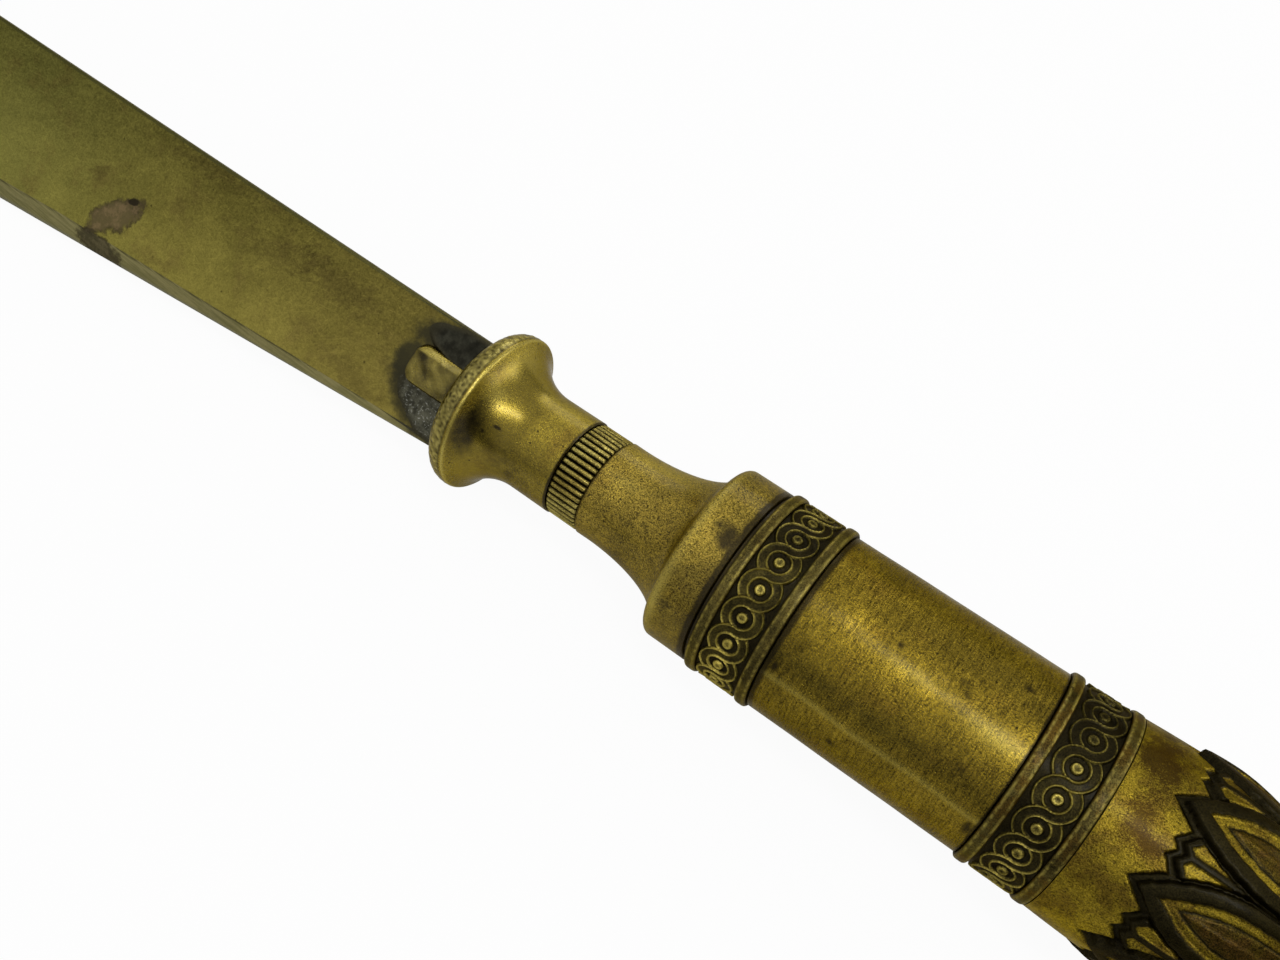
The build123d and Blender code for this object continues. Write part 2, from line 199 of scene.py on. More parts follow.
class OpenerFinish(bpy.types.PropertyGroup):
    """Colours of the letter opener"""

    blade_brass: colour_property("Blade", "Dull olive brass", (0.185, 0.158, 0.034))
    neck_brass: colour_property("Neck brass", "Olive brass of the bolster", (0.232, 0.171, 0.019))
    turned_brass: colour_property("Ferrule brass", "Worn golden brass", (0.225, 0.160, 0.022))
    barrel_brass: colour_property("Barrel brass", "Browned golden brass", (0.172, 0.118, 0.011))
    leaf_brass: colour_property("Leaf brass", "Golden brass of the pommel", (0.222, 0.157, 0.013))
    # Bright brass also colours the painted highlights on edges, ridges and fillets
    bright_brass: colour_property("Bright brass", "Rubbed ridges", (0.45, 0.36, 0.075))
    olive_brass: colour_property("Olive brass", "Worn relief of the bands", (0.120, 0.094, 0.024))
    patina: colour_property("Patina", "Dark film in the hollows", (0.014, 0.011, 0.0035))
    rod_steel: colour_property("Rod steel", "Hidden tie rod", (0.28, 0.27, 0.25))
    solder: colour_property("Solder", "Dull soft solder", (0.040, 0.039, 0.027))
    roughness: FloatProperty(
        name="Roughness",
        description="Roughness of rubbed brass",
        subtype="FACTOR",
        default=0.30,
        min=0,
        max=1,
    )


# Meshes


def on_handle(station, spine, face):
    """Points in metres from stations, heights to the spine and heights out of the upper face."""
    station, spine, face = np.broadcast_arrays(station, spine, face)
    place = AXIS_START + station[..., None] * ALONG + spine[..., None] * SPINE + face[..., None] * FACE
    return place * MM


def round_axis(station, radius, angle):
    """Points in metres from stations, radii and angles turned from the upper face to the belly."""
    return on_handle(station, -np.asarray(radius) * np.sin(angle), np.asarray(radius) * np.cos(angle))


def smooth(low, high, value):
    """Soft step from 0 at low to 1 at high."""
    t = np.clip((value - low) / (high - low), 0.0, 1.0)
    return t * t * (3 - 2 * t)


def bell(value, width):
    """Bell curve, 1 at value 0."""
    return np.exp(-((value / width) ** 2))


def ripple(a, b, seed, waves=7):
    """Soft waviness between about -1 and 1 over two coordinates, the same on every run."""
    rng = np.random.default_rng(seed)
    total = np.zeros(np.broadcast(a, b).shape)
    for _ in range(waves):
        fa, fb, phase = rng.normal(), rng.normal(), rng.uniform(0, 2 * math.pi)
        total += np.sin(fa * a + fb * b + phase)
    return total / waves**0.5 / 1.4


def smudges(station, angle, radius, marks):
    """Strength of oval marks: station, degrees, half length, half width and strength of each."""
    total = np.zeros(station.shape)
    for at, degrees, run, width, strength in marks:
        across = (angle - math.radians(degrees) + math.pi) % (2 * math.pi) - math.pi
        oval = ((station - at) / run) ** 2 + (across * radius / width) ** 2
        total = np.maximum(total, strength * np.exp(-oval))
    return total


def add_piece(name, points, faces, material, attributes=(), crease=35.0):
    """Mesh object from points in metres, with point attributes, smooth but for its creases."""
    mesh = bpy.data.meshes.new(name)
    mesh.from_pydata(np.asarray(points).reshape(-1, 3).tolist(), [], faces)
    for key, values in dict(attributes).items():
        store = mesh.attributes.new(key, "FLOAT", "POINT")
        store.data.foreach_set("value", np.asarray(values, dtype=np.float32).ravel())
    mesh.materials.append(material)
    finish_mesh(mesh, crease)
    piece = bpy.data.objects.new(name, mesh)
    bpy.context.scene.collection.objects.link(piece)
    return piece


def finish_mesh(mesh, crease):
    """Shade a mesh smooth, with creases kept sharp."""
    mesh.validate()
    mesh.shade_smooth()
    mesh.set_sharp_from_angle(angle=math.radians(crease))


def take_place(piece, node):
    """Let a piece ride on the opener in place of its construction node."""
    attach(piece, "root")
    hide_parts(node)


def grid_faces(rows, columns, close_rows=False, close_columns=False):
    """Quads of a grid of points stored row by row."""
    i, j = np.meshgrid(
        np.arange(rows if close_rows else rows - 1),
        np.arange(columns if close_columns else columns - 1),
        indexing="ij",
    )
    i, j = i.ravel(), j.ravel()
    after, beside = (i + 1) % rows, (j + 1) % columns
    corners = (i * columns + j, i * columns + beside, after * columns + beside, after * columns + j)
    return np.stack(corners, axis=1).tolist()


def turned_over(faces):
    """Faces wound the other way."""
    return [list(reversed(face)) for face in faces]


def soften(profile, radius, steps=4):
    """Closed profile with its corners rounded."""
    points = [np.array(p, dtype=float) for p in profile]
    rounded = []
    for k, here in enumerate(points):
        before, after = points[k - 1], points[(k + 1) % len(points)]
        way_in, way_out = before - here, after - here
        a, b = np.linalg.norm(way_in), np.linalg.norm(way_out)
        if np.dot(way_in, way_out) / (a * b) < -0.985:
            rounded.append(here)
            continue
        reach = min(radius, 0.4 * a, 0.4 * b)
        start, end = here + way_in / a * reach, here + way_out / b * reach
        for t in np.linspace(0, 1, steps + 1):
            rounded.append((1 - t) ** 2 * start + 2 * t * (1 - t) * here + t * t * end)
    return np.array(rounded)


def refine(profile, longest, above=0.0):
    """Closed profile with its long runs divided where they lie above a radius."""
    points = []
    for here, after in zip(profile, np.roll(profile, -1, axis=0)):
        outside = min(here[1], after[1]) > above
        count = max(1, math.ceil(np.linalg.norm(after - here) / longest)) if outside else 1
        points.extend(here + (after - here) * t for t in np.arange(count) / count)
    return np.array(points)


def ring_section(start, end, inner, outer):
    """Square section of a plain ring, run outwards side first."""
    return [(start, inner), (start, outer), (end, outer), (end, inner)]


def turned(name, profile, material, segments=256, shape=None, attributes=None):
    """Piece turned from a closed profile of station and radius, run outwards side first."""
    profile = np.asarray(profile, dtype=float)
    angles = np.arange(segments) * 2 * math.pi / segments
    station = np.repeat(profile[:, 0][:, None], segments, axis=1)
    radius = np.repeat(profile[:, 1][:, None], segments, axis=1)
    angle = np.repeat(angles[None, :], len(profile), axis=0)
    if shape:
        radius = shape(station, radius, angle)
    values = attributes(station, radius, angle) if attributes else {}
    points = round_axis(station, radius, angle)
    faces = grid_faces(len(profile), segments, close_rows=True, close_columns=True)
    return add_piece(name, points, faces, material, values)


# Node trees


def put(tree, socket, value):
    """Set a socket to a value or link it to another socket."""
    if isinstance(value, bpy.types.NodeSocket):
        tree.links.new(value, socket)
    else:
        socket.default_value = value


def add_node(tree, kind, values=(), **settings):
    """Node of a kind with its settings made and its inputs set or linked."""
    made = tree.nodes.new(kind)
    for key, value in settings.items():
        setattr(made, key, value)
    for key, value in dict(values).items():
        put(tree, made.inputs[key], value)
    return made


class Shade:
    """Material whose shader nodes are added and linked by short calls."""

    def __init__(self, name):
        self.material = bpy.data.materials.new(name)
        self.material.use_nodes = True
        self.tree = self.material.node_tree
        self.shader = self.tree.nodes["Principled BSDF"]

    def add(self, kind, values=(), **settings):
        """Node of a kind in this material."""
        return add_node(self.tree, kind, values, **settings)

    def mapped(self, vector, location=(0, 0, 0), rotation=(0, 0, 0), scale=(1, 1, 1)):
        """Place of a vector in a frame that lies, turns and is scaled as given."""
        values = {"Vector": vector, "Location": location, "Rotation": rotation, "Scale": scale}
        return self.add("ShaderNodeMapping", values, vector_type="TEXTURE").outputs[0]

    def place(self, stretch=None, turn=0.0):
        """Place on the handle in millimetres: station, height to the spine, height out of the face."""
        coordinates = self.add("ShaderNodeTexCoord").outputs["Object"]
        lie = Matrix(np.stack((ALONG, SPINE, FACE), axis=1).tolist()).to_euler()
        local = self.mapped(coordinates, tuple(AXIS_START * MM), lie, (MM,) * 3)
        if stretch is None:
            return local
        return self.mapped(local, rotation=(0.0, 0.0, turn), scale=tuple(1 / factor for factor in stretch))

    def noise(self, place, scale, detail=3.0, roughness=0.55, distortion=0.0):
        """Noise value with a number of cells per millimetre."""
        values = {"Vector": place, "Scale": scale, "Detail": detail}
        values.update({"Roughness": roughness, "Distortion": distortion})
        return self.add("ShaderNodeTexNoise", values).outputs["Fac"]

    def step(self, value, low, high, floor=0.0, top=1.0, kind="SMOOTHSTEP"):
        """Smooth step of a value from low to high, or a straight one."""
        values = {"Value": value, "From Min": low, "From Max": high, "To Min": floor, "To Max": top}
        return self.add("ShaderNodeMapRange", values, interpolation_type=kind).outputs["Result"]

    def compute(self, operation, a, b=0.0, c=0.0):
        """Math node on up to three values."""
        return self.add("ShaderNodeMath", {0: a, 1: b, 2: c}, operation=operation).outputs[0]

    def times(self, a, b):
        """Product of two values."""
        return self.compute("MULTIPLY", a, b)

    def blend(self, factor, a, b):
        """Colour mix by a factor."""
        made = self.add("ShaderNodeMix", {0: factor}, data_type="RGBA")
        for index, value in ((6, a), (7, b)):
            if not isinstance(value, bpy.types.NodeSocket):
                value = (*value, 1.0)
            put(self.tree, made.inputs[index], value)
        return made.outputs[2]

    def speck(self, place, scale):
        """Random brightness of small cells."""
        cell = self.add("ShaderNodeTexVoronoi", {"Vector": place, "Scale": scale}).outputs["Color"]
        return self.add("ShaderNodeSeparateColor", {0: cell}).outputs[0]

    def pits(self, place, scale, size, spread, reach, top=1.0):
        """Small round pits, gathered where a noise of the given spread is within a reach."""
        cells = self.add("ShaderNodeTexVoronoi", {"Vector": place, "Scale": scale}).outputs["Distance"]
        gathered = self.step(self.noise(place, spread), *reach, 0.0, top)
        return self.times(self.step(cells, *size, 1.0, 0.0), gathered)

    def drift(self, start, *changes):
        """Start value plus each pattern's departure from one half times its weight."""
        total = start
        for value, weight in changes:
            total = self.compute("ADD", total, self.compute("MULTIPLY_ADD", value, weight, -0.5 * weight))
        return total

    def scaled(self, colour, level):
        """Colour made lighter or darker by a value."""
        if not isinstance(colour, bpy.types.NodeSocket):
            colour = tuple(colour)[:3]
        return self.add("ShaderNodeVectorMath", {0: colour, "Scale": level}, operation="SCALE").outputs[0]

    def blob(self, place, centre, size, turn):
        """Distance from an oval's middle, 1 on its edge."""
        local = self.mapped(place, (*centre, 0.0), (0.0, 0.0, turn), (*size, 1000.0))
        return self.add("ShaderNodeVectorMath", {0: local}, operation="LENGTH").outputs["Value"]

    def patches(self, place, colour, marks, film, wobble, fade, within=None):
        """Colour under patches of a film whose edges wobble and fade."""
        for centre, size, turn, strength in marks:
            reach = self.compute("ADD", self.blob(place, centre, size, turn), wobble)
            share = self.step(reach, *fade, strength, 0.0)
            colour = self.blend(self.times(share, within) if within else share, colour, film)
        return colour

    def read(self, attribute):
        """Point attribute of the mesh."""
        return self.add("ShaderNodeAttribute", attribute_name=attribute).outputs["Fac"]

    def axes(self, place):
        """Station, spine and face heights as three values."""
        return self.add("ShaderNodeSeparateXYZ", {0: place}).outputs[:3]

    def end(self, colour, roughness, height, depth, metallic=1.0, coat=0.0):
        """Give the shader its colour, roughness, a relief as deep as given in millimetres and a coat."""
        bump = self.add("ShaderNodeBump", {"Height": height, "Strength": 1.0, "Distance": depth * MM})
        for socket, value in (
            ("Base Color", colour),
            ("Roughness", roughness),
            ("Normal", bump.outputs[0]),
            ("Metallic", metallic),
            ("Specular Tint", METAL_GLANCE),
            ("Coat Weight", coat),
            ("Coat IOR", 1.7),
            ("Coat Roughness", 0.2),
        ):
            put(self.tree, self.shader.inputs[socket], value)
        return self.material


# Finishes


def tint(colour, factor):
    """Colour times a factor."""
    return tuple(channel * factor for channel in colour)


def blade_finish():
    """Wiped olive brass with clouds, fine scratches, pits, a stain, a streaked bevel partly toned as painted
    reflection, painted shade along the spine edge and a browner root.
    """
    finish = bpy.context.scene.opener_finish
    s = Shade("wiped_blade_brass")
    place = s.place()
    station, spine, face = s.axes(place)
    base = tuple(finish.blade_brass)
    cloud = s.noise(place, 0.09, 4.0, 0.6, 0.8)
    smear = s.noise(s.place((0.12, 0.36, 0.36), 0.35), 1.0, 6.0, 0.66, 1.4)
    fleck = s.noise(place, 2.6, 4.0, 0.72)
    speck = s.speck(place, 6.5)
    scratch = fine_scratches(s)
    colour = s.blend(s.step(cloud, 0.36, 0.66), tint(base, 0.88), tint(base, 1.10))
    colour = blade_tarnish(s, place, station, colour)
    across = s.step(spine, -9.0, 7.0, 1.36, 0.76)
    level = s.drift(across, (speck, 0.30), (fleck, 1.10), (smear, 0.50))
    colour = s.scaled(colour, s.compute("ADD", level, scratch))
    pit = s.pits(place, 0.42, (0.04, 0.09), 0.25, (0.52, 0.60))
    colour = s.blend(s.times(pit, 0.7), colour, BLADE_PIT)
    colour = blade_bevel(s, colour)
    # Painted shade: a dark line along the rounded spine edge of the blade
    colour = s.blend(s.times(s.read("edge"), 0.7), colour, SPINE_EDGE_SHADE)
    colour = blade_stain(s, place, face, colour)
    wobble = s.drift(0.0, (s.noise(place, 0.6, 4.0, 0.65), 0.9))
    colour = s.patches(place, colour, FLUX_PATCHES, FLUX, wobble, (0.80, 1.35))
    rough = s.drift(finish.roughness + 0.12, (smear, -0.25), (cloud, 0.2))
    height = s.drift(0.0, (fleck, 0.6), (smear, 0.6), (scratch, 0.8), (pit, -1.2))
    return s.end(colour, rough, height, 0.02)


def blade_tarnish(s, place, station, colour):
    """Blade colour, greener towards the tip and browner towards the root, with brown clouds and smudges."""
    colour = s.blend(s.step(station, -80.0, -40.0, 0.5, 0.0), colour, GREEN_TIP)
    colour = s.blend(s.step(station, -42.0, -4.0, 0.0, 0.6), colour, BROWN_ROOT)
    brown = s.step(s.noise(place, 0.20, 5.0, 0.68), 0.50, 0.70, 0.0, 0.55)
    colour = s.blend(brown, colour, BROWN_CLOUD)
    broken = s.drift(0.0, (s.noise(s.place((0.7, 1.6, 1.6), 0.5), 1.0, 6.0, 0.75), 4.0))
    return s.patches(place, colour, BLADE_SMUDGES, BROWN_SMUDGE, broken, (0.3, 1.3))


def fine_scratches(s):
    """Thin pale lines of wiping in several directions."""
    total = 0.0
    for turn, run in ((0.12, 0.16), (0.55, 0.3), (-0.4, 0.26), (1.2, 0.4)):
        line = s.noise(s.place((run, 5.5, 5.5), turn), 1.0, 2.0, 0.5)
        total = s.compute("ADD", s.step(line, 0.64, 0.74, 0.0, 0.22), total)
    return total


def blade_bevel(s, colour):
    """Blade colour with the greyer, streaked bevel, a painted shade line above it and a pale line along the
    cutting edge.
    """
    bevel = s.read("bevel")
    streak = s.noise(s.place((0.10, 2.6, 2.6), -0.08), 1.0, 4.0, 0.7)
    dull = s.blend(s.step(streak, 0.36, 0.64), DULL_BEVEL, PALE_BEVEL)
    # Painted reflection in part: the bevel's greyer tone stands in for the light its slope reflects; its
    # streaks are grinding marks
    colour = s.blend(s.step(bevel, 0.0, 0.05, 0.0, 0.8), colour, dull)
    # Painted shade: a dark line in the crease above the bevel
    line = s.times(s.step(bevel, 0.01, 0.05), s.step(bevel, 0.08, 0.20, 1.0, 0.0))
    line = s.times(line, s.step(streak, 0.42, 0.60, 0.7, 0.1))
    colour = s.blend(line, colour, BEVEL_SHADE_LINE)
    return s.blend(s.step(bevel, 0.78, 0.98, 0.0, 0.9), colour, CUTTING_EDGE)


def blade_stain(s, place, face, colour):
    """Blade colour with a coppery stain and a darker patch that runs over the bevel."""
    wobble = s.drift(0.0, (s.noise(place, 0.5, 5.0, 0.65), 1.3))
    mottle = s.noise(place, 0.8, 5.0, 0.7)
    broken = s.step(mottle, 0.38, 0.58, 0.2, 0.95)
    upper = s.step(face, -0.3, 0.3)
    copper_film = s.blend(s.step(mottle, 0.42, 0.60), DARK_COPPER, PALE_COPPER)
    grey_film = s.blend(s.step(mottle, 0.42, 0.60), DARK_STAIN, PALE_STAIN)
    for centre, size, turn, film in (
        ((-54.8, -6.2), (4.4, 2.1), 0.72, copper_film),
        ((-55.0, -10.6), (4.0, 1.35), 0.0, grey_film),
    ):
        reach = s.compute("ADD", s.blob(place, centre, size, turn), wobble)
        inside = s.times(s.step(reach, 0.70, 1.05, 0.85, 0.0), upper)
        rim = s.times(s.step(reach, 0.60, 0.86), s.step(reach, 0.90, 1.10, 1.0, 0.0))
        rim = s.times(s.times(rim, broken), upper)
        colour = s.blend(inside, colour, film)
        colour = s.blend(s.times(rim, 0.75), colour, STAIN_RIM)
    spot = (((-53.2, -3.4), (0.9, 0.5), 0.3, 0.9),)
    return s.patches(place, colour, spot, STAIN_SPOT, wobble, (0.7, 1.1), upper)


def brass_grain(s, place, grain, marks):
    """Clouds, fine grain, specks, turning strokes and the brightness that they give together."""
    cloud = s.noise(place, 0.16, 4.0, 0.6, 0.4)
    fine = s.noise(place, 8.0, 2.0, 0.6)
    speck = s.speck(place, 8.0)
    stroke = s.noise(s.place((6.5, 0.6, 0.6)), 1.0, 2.0, 0.6, 0.3)
    level = s.drift(1.0, (fine, 3.0 * grain), (speck, 0.8 * grain), (stroke, 2.0 * marks))
    return cloud, fine, speck, stroke, s.compute("MAXIMUM", level, 0.12)


def turned_finish(name, brass, grain=1.0, shine=0.0, marks=0.3, spots=0.35, coat=0.05):
    """Worn golden brass with fine grain, turning marks, dark spots, pits, tarnished patches, dirt and painted
    shade, and edges brightened by rubbing and painted highlights.
    """
    finish = bpy.context.scene.opener_finish
    s = Shade(name)
    place = s.place()
    base = tuple(brass)
    polish = s.read("polish")
    calm = s.step(polish, 0.0, 1.0, 1.0, 0.5, "LINEAR")
    cloud, fine, speck, stroke, level = brass_grain(s, place, grain, marks)
    level = s.compute("MULTIPLY_ADD", s.compute("SUBTRACT", level, 1.0), calm, 1.0)
    colour = s.blend(s.step(cloud, 0.34, 0.68), tint(base, 0.74), tint(base, 1.16))
    brown = s.step(s.noise(place, 0.26, 4.0, 0.6), 0.50, 0.70, 0.0, 0.55)
    colour = s.blend(brown, colour, BROWN_BRASS)
    # Brown patches from a mark that holds real tarnish and, on the barrel, painted shade beside the ridge
    tarnish_and_shade = s.step(s.noise(place, 0.8, 5.0, 0.7), 0.38, 0.60, 0.45, 1.0)
    colour = s.blend(s.times(s.read("tarnish_and_shade"), tarnish_and_shade), colour, TARNISH)
    colour = s.scaled(colour, level)
    patch = s.step(s.noise(place, 0.5, 4.0, 0.65), 0.60, 0.74, 0.0, spots)
    colour = s.blend(patch, colour, DARK_SPOT)
    pit = s.pits(place, 0.9, (0.06, 0.13), 0.33, (0.50, 0.58))
    colour = s.blend(s.times(pit, 0.85), colour, TURNED_PIT)
    colour = wear_grime_and_painted_light(s, place, fine, colour)
    rough = s.drift(finish.roughness + 0.06 - shine, (cloud, -0.3), (speck, 0.10))
    rough = s.compute("SUBTRACT", rough, s.times(polish, 0.10))
    height = s.drift(0.0, (fine, 1.1 * grain), (speck, 0.3 * grain), (stroke, 1.2 * marks), (pit, -1.4))
    return s.end(colour, rough, s.times(height, calm), 0.042, coat=coat)


def wear_grime_and_painted_light(s, place, fine, colour):
    """Turned brass with its stippled rim, places brightened by rubbing and by painted highlights, and dirt
    and painted shade over them.
    """
    bright = tuple(bpy.context.scene.opener_finish.bright_brass)
    rim_level = s.compute("MAXIMUM", s.drift(1.0, (s.read("stipple"), 1.9)), 0.1)
    colour = s.blend(s.times(s.read("rim"), 0.85), colour, s.scaled(STIPPLED_RIM, rim_level))
    # Painted highlights: this mark brightens the lip glint, edges, ridge and gleams, besides real rubbing
    rubbed_and_painted_light = s.times(s.read("rubbed_and_painted_light"), s.step(fine, 0.30, 0.52, 0.35, 1.0))
    colour = s.blend(rubbed_and_painted_light, colour, bright)
    uneven = s.drift(0.0, (fine, 0.9), (s.noise(place, 0.9, 3.0), 1.0))
    # Painted shade: this mark darkens joints, gaps beside the bands and the dark reflection behind the rim,
    # besides real dirt and spots
    grime_and_shade = s.read("grime_and_shade")
    grime_and_shade = s.step(s.compute("ADD", grime_and_shade, s.times(grime_and_shade, uneven)), 0.15, 0.75)
    return s.blend(s.times(grime_and_shade, 0.92), colour, GRIME_AND_SHADE)


def carved_finish(name, bright, dull, grain=0.8, pitting=0.0, stains=(), spine_side_shade=0.0, belly=1.0):
    """Dark patina in the hollows that a wear mark rubs through to brass, with painted shade towards the
    spine, painted light towards the belly and painted highlight lines.
    """
    finish = bpy.context.scene.opener_finish
    s = Shade(name)
    place = s.place()
    cloud, fine, speck, _, level = brass_grain(s, place, grain, 0.2)
    patchy = s.noise(place, 0.5, 4.0, 0.65)
    spine, face = s.axes(place)[1:]
    # Painted shade: the relief is made darker towards the spine side
    rubbed_and_painted_light = s.times(s.read("worn_and_painted_light"), s.step(spine, 2.5, 8.0, 1.0, 1.0 - spine_side_shade))
    worn_and_painted_light = s.compute("ADD", rubbed_and_painted_light, s.times(rubbed_and_painted_light, s.drift(0.0, (fine, 1.2), (patchy, 1.7))))
    brass = s.scaled(s.blend(s.step(cloud, 0.36, 0.66), dull, bright), level)
    # Painted light: the brass is made lighter towards the belly side
    brass = s.scaled(brass, s.step(spine, -9.0, -3.0, belly, 1.0))
    brown = s.step(s.noise(place, 0.30, 5.0, 0.7), 0.44, 0.60, 0.0, pitting)
    brass = s.blend(brown, brass, s.scaled(PITTED_BROWN, level))
    rust = s.times(s.read("rust"), s.step(patchy, 0.36, 0.58, 0.25, 0.9))
    brass = s.blend(rust, brass, s.scaled(RUST, level))
    pit = s.pits(place, 0.95, (0.10, 0.22), 0.42, (0.48, 0.58), pitting)
    brass = s.blend(pit, brass, CARVED_PIT)
    wobble = s.drift(0.0, (patchy, 2.4), (fine, 1.0))
    upper = s.step(face, -0.5, 0.5)
    brass = s.patches(place, brass, stains, POMMEL_STAIN, wobble, (0.35, 1.15), upper)
    shade = s.scaled(tuple(finish.patina), s.drift(1.0, (fine, 3.0), (patchy, 2.0)))
    colour = s.blend(s.step(worn_and_painted_light, 0.06, 0.80), shade, brass)
    # Painted highlights: thin bright lines from the highlight mark
    bare_and_highlight = s.times(s.read("bare_and_highlight"), s.step(s.noise(place, 1.6, 4.0, 0.7), 0.40, 0.60))
    colour = s.blend(bare_and_highlight, colour, tint(finish.bright_brass, 0.8))
    rough = s.step(worn_and_painted_light, 0.1, 0.9, 0.50, finish.roughness + 0.05, "LINEAR")
    height = s.drift(0.0, (fine, 1.0), (speck, 0.3), (patchy, 1.2), (pit, -1.0))
    return s.end(colour, rough, height, 0.045, coat=0.03)


def solder_finish():
    """Dull grey soft solder, kept darker towards the spine as painted shade, lighter towards the belly with
    pale specks as painted glints.
    """
    s = Shade("soft_solder")
    place = s.place()
    belly = s.step(s.axes(place)[1], -1.0, 1.0, 1.0, 0.0)
    lump = s.noise(place, 0.8, 4.0, 0.6)
    fine = s.noise(place, 3.4, 3.0, 0.7)
    base = tuple(bpy.context.scene.opener_finish.solder)
    colour = s.blend(s.step(lump, 0.35, 0.68), tint(base, 0.35), tint(base, 0.95))
    # Painted light: only the belly side is lightened and given pale glints; the spine side stays dark as
    # painted shade
    colour = s.blend(s.times(belly, s.step(lump, 0.40, 0.60, 0.3, 0.9)), colour, tint(base, 2.6))
    colour = s.blend(s.times(belly, s.step(fine, 0.56, 0.66, 0.0, 0.75)), colour, SOLDER_SPARK)
    colour = s.blend(s.times(s.read("thin"), 0.9), colour, THIN_SOLDER)
    return s.end(colour, 0.48, s.compute("ADD", lump, fine), 0.06, metallic=0.85)


# Blade, bolster and solder


class OPENER_OT_blade(bpy.types.Operator):
    """Lay the knife blade with its bevelled belly"""

    bl_idname = "opener.blade"
    bl_label = "Blade"

    def execute(self, context):
        sizes = context.scene.opener_sizes
        points, marks = blade_skin(sizes.blade_length / MM, sizes.blade_thickness / MM / 2)
        rows, columns = points.shape[:2]
        marks = {key: np.repeat(values[None, :], rows, axis=0) for key, values in marks.items()}
        faces = turned_over(grid_faces(rows, columns, close_columns=True))
        faces.append(list(range(columns)))
        faces.append([(rows - 1) * columns + k for k in reversed(range(columns))])
        piece = add_piece("blade", points, faces, blade_finish(), marks, crease=24.0)
        take_place(piece, "blade")
        return {"FINISHED"}


def blade_skin(length, half):
    """Cross sections of the blade from root to tip, with marks for its bevel and its back."""
    edge_half, least_bevel, most_bevel, widening = 0.3, 0.8, 2.3, 0.024
    station, spine, belly = blade_outline(length)
    depth = spine - belly
    bevel = np.clip(least_bevel - widening * station, least_bevel, most_bevel)
    bevel = np.minimum(bevel, depth * 0.45)
    ease = np.minimum(0.28, depth * 0.1)
    span = np.concatenate(((0.0,), np.linspace(0.008, 0.997, 15), (1.0,)))
    upper = (spine - ease)[:, None] - (spine - ease - belly - bevel)[:, None] * span
    waves = 0.018 * ripple(station[:, None] * 0.35, upper * 0.8, 5)
    edge = edge_half * np.minimum(1.0, bevel / least_bevel)[:, None]
    top = np.minimum(half, edge_half + bevel)[:, None]
    low, high = belly[:, None], spine[:, None]
    heights = np.concatenate((upper, low, low, upper[:, ::-1], high, high), axis=1)
    skin = np.repeat(top, len(span), axis=1) + waves
    lift = np.concatenate((skin, edge, -edge, -skin[:, ::-1], -top * 0.72, top * 0.72), axis=1)
    flat = np.zeros(len(span))
    rubbed_and_painted_light = np.append(1.0, flat[1:])
    # The edge mark picks the rounded spine edge, where a painted shade line goes
    marks = {
        "bevel": np.concatenate((flat, (1, 1), flat, (0, 0))),
        "edge": np.concatenate((rubbed_and_painted_light, (0, 0), rubbed_and_painted_light[::-1], (1, 1))),
    }
    return on_handle(station[:, None] + 0 * heights, heights, lift), marks


def blade_outline(length):
    """Stations from root to tip with the heights of spine and belly."""
    tip_run, spine_bend, spine_curve = 8, 110, 1020.0
    root_spine, spine_rise = 6.2, 0.7
    root, widest, flare = 7.05, 13.0, 73.5
    tip_round, tip_height = 1.5, 4.6
    tip = length - tip_run + tip_run * np.sin(np.linspace(0.05, 1.57, 24))
    run = np.concatenate((np.linspace(-0.2, length - tip_run, 150), tip))
    spine = root_spine + spine_rise * np.clip(run / spine_bend, 0, 1)
    spine = spine - np.clip(run - spine_bend, 0, None) ** 2 / (2 * spine_curve)
    slope = (widest - root) / flare
    chord = np.array((length - tip_round - flare, tip_height - tip_round + widest))
    way = np.array((1.0, -slope)) / math.hypot(1.0, slope)
    radius = chord @ chord / (2 * abs(way[0] * chord[1] - way[1] * chord[0]))
    lead = radius * slope / math.hypot(1.0, slope)
    bend = np.clip(run - flare, 0, None)
    arc = np.sqrt(np.clip(radius**2 - (bend - lead) ** 2, 0, None)) - math.sqrt(radius**2 - lead**2)
    belly = np.where(bend > 0, -(widest + arc), -(root + slope * np.minimum(run, flare)))
    nose = np.clip((run - (length - tip_round)) / tip_round, 0, 1)
    reach = tip_round * np.sqrt(np.clip(1 - nose**2, 0, 1))
    spine = np.where(nose > 0, np.minimum(spine, tip_height + reach), spine)
    belly = np.where(nose > 0, np.maximum(belly, tip_height - reach), belly)
    return FLANGE_FACE - run, spine, np.minimum(belly, spine - 0.02)


class OPENER_OT_bolster(bpy.types.Operator):
    """Turn the trumpet bolster and set a langet on each blade face"""

    bl_idname = "opener.bolster"
    bl_label = "Bolster"

    def execute(self, context):
        flange = context.scene.opener_sizes.flange_radius / MM
        profile = bolster_profile(flange)
        brass = context.scene.opener_finish.neck_brass
        material = turned_finish(
            "trumpet_brass", brass, grain=0.7, shine=0.04, marks=0.1, spots=0.3, coat=0.15
        )
        body = turned("bolster", refine(profile, 0.3, 5.3), material, 480, bolster_shape, bolster_marks)
        parts = [body]
        for facing in (1, -1):
            parts.append(langet(f"langet_{facing}", facing, material))
        join(parts)
        take_place(body, "bolster")
        return {"FINISHED"}


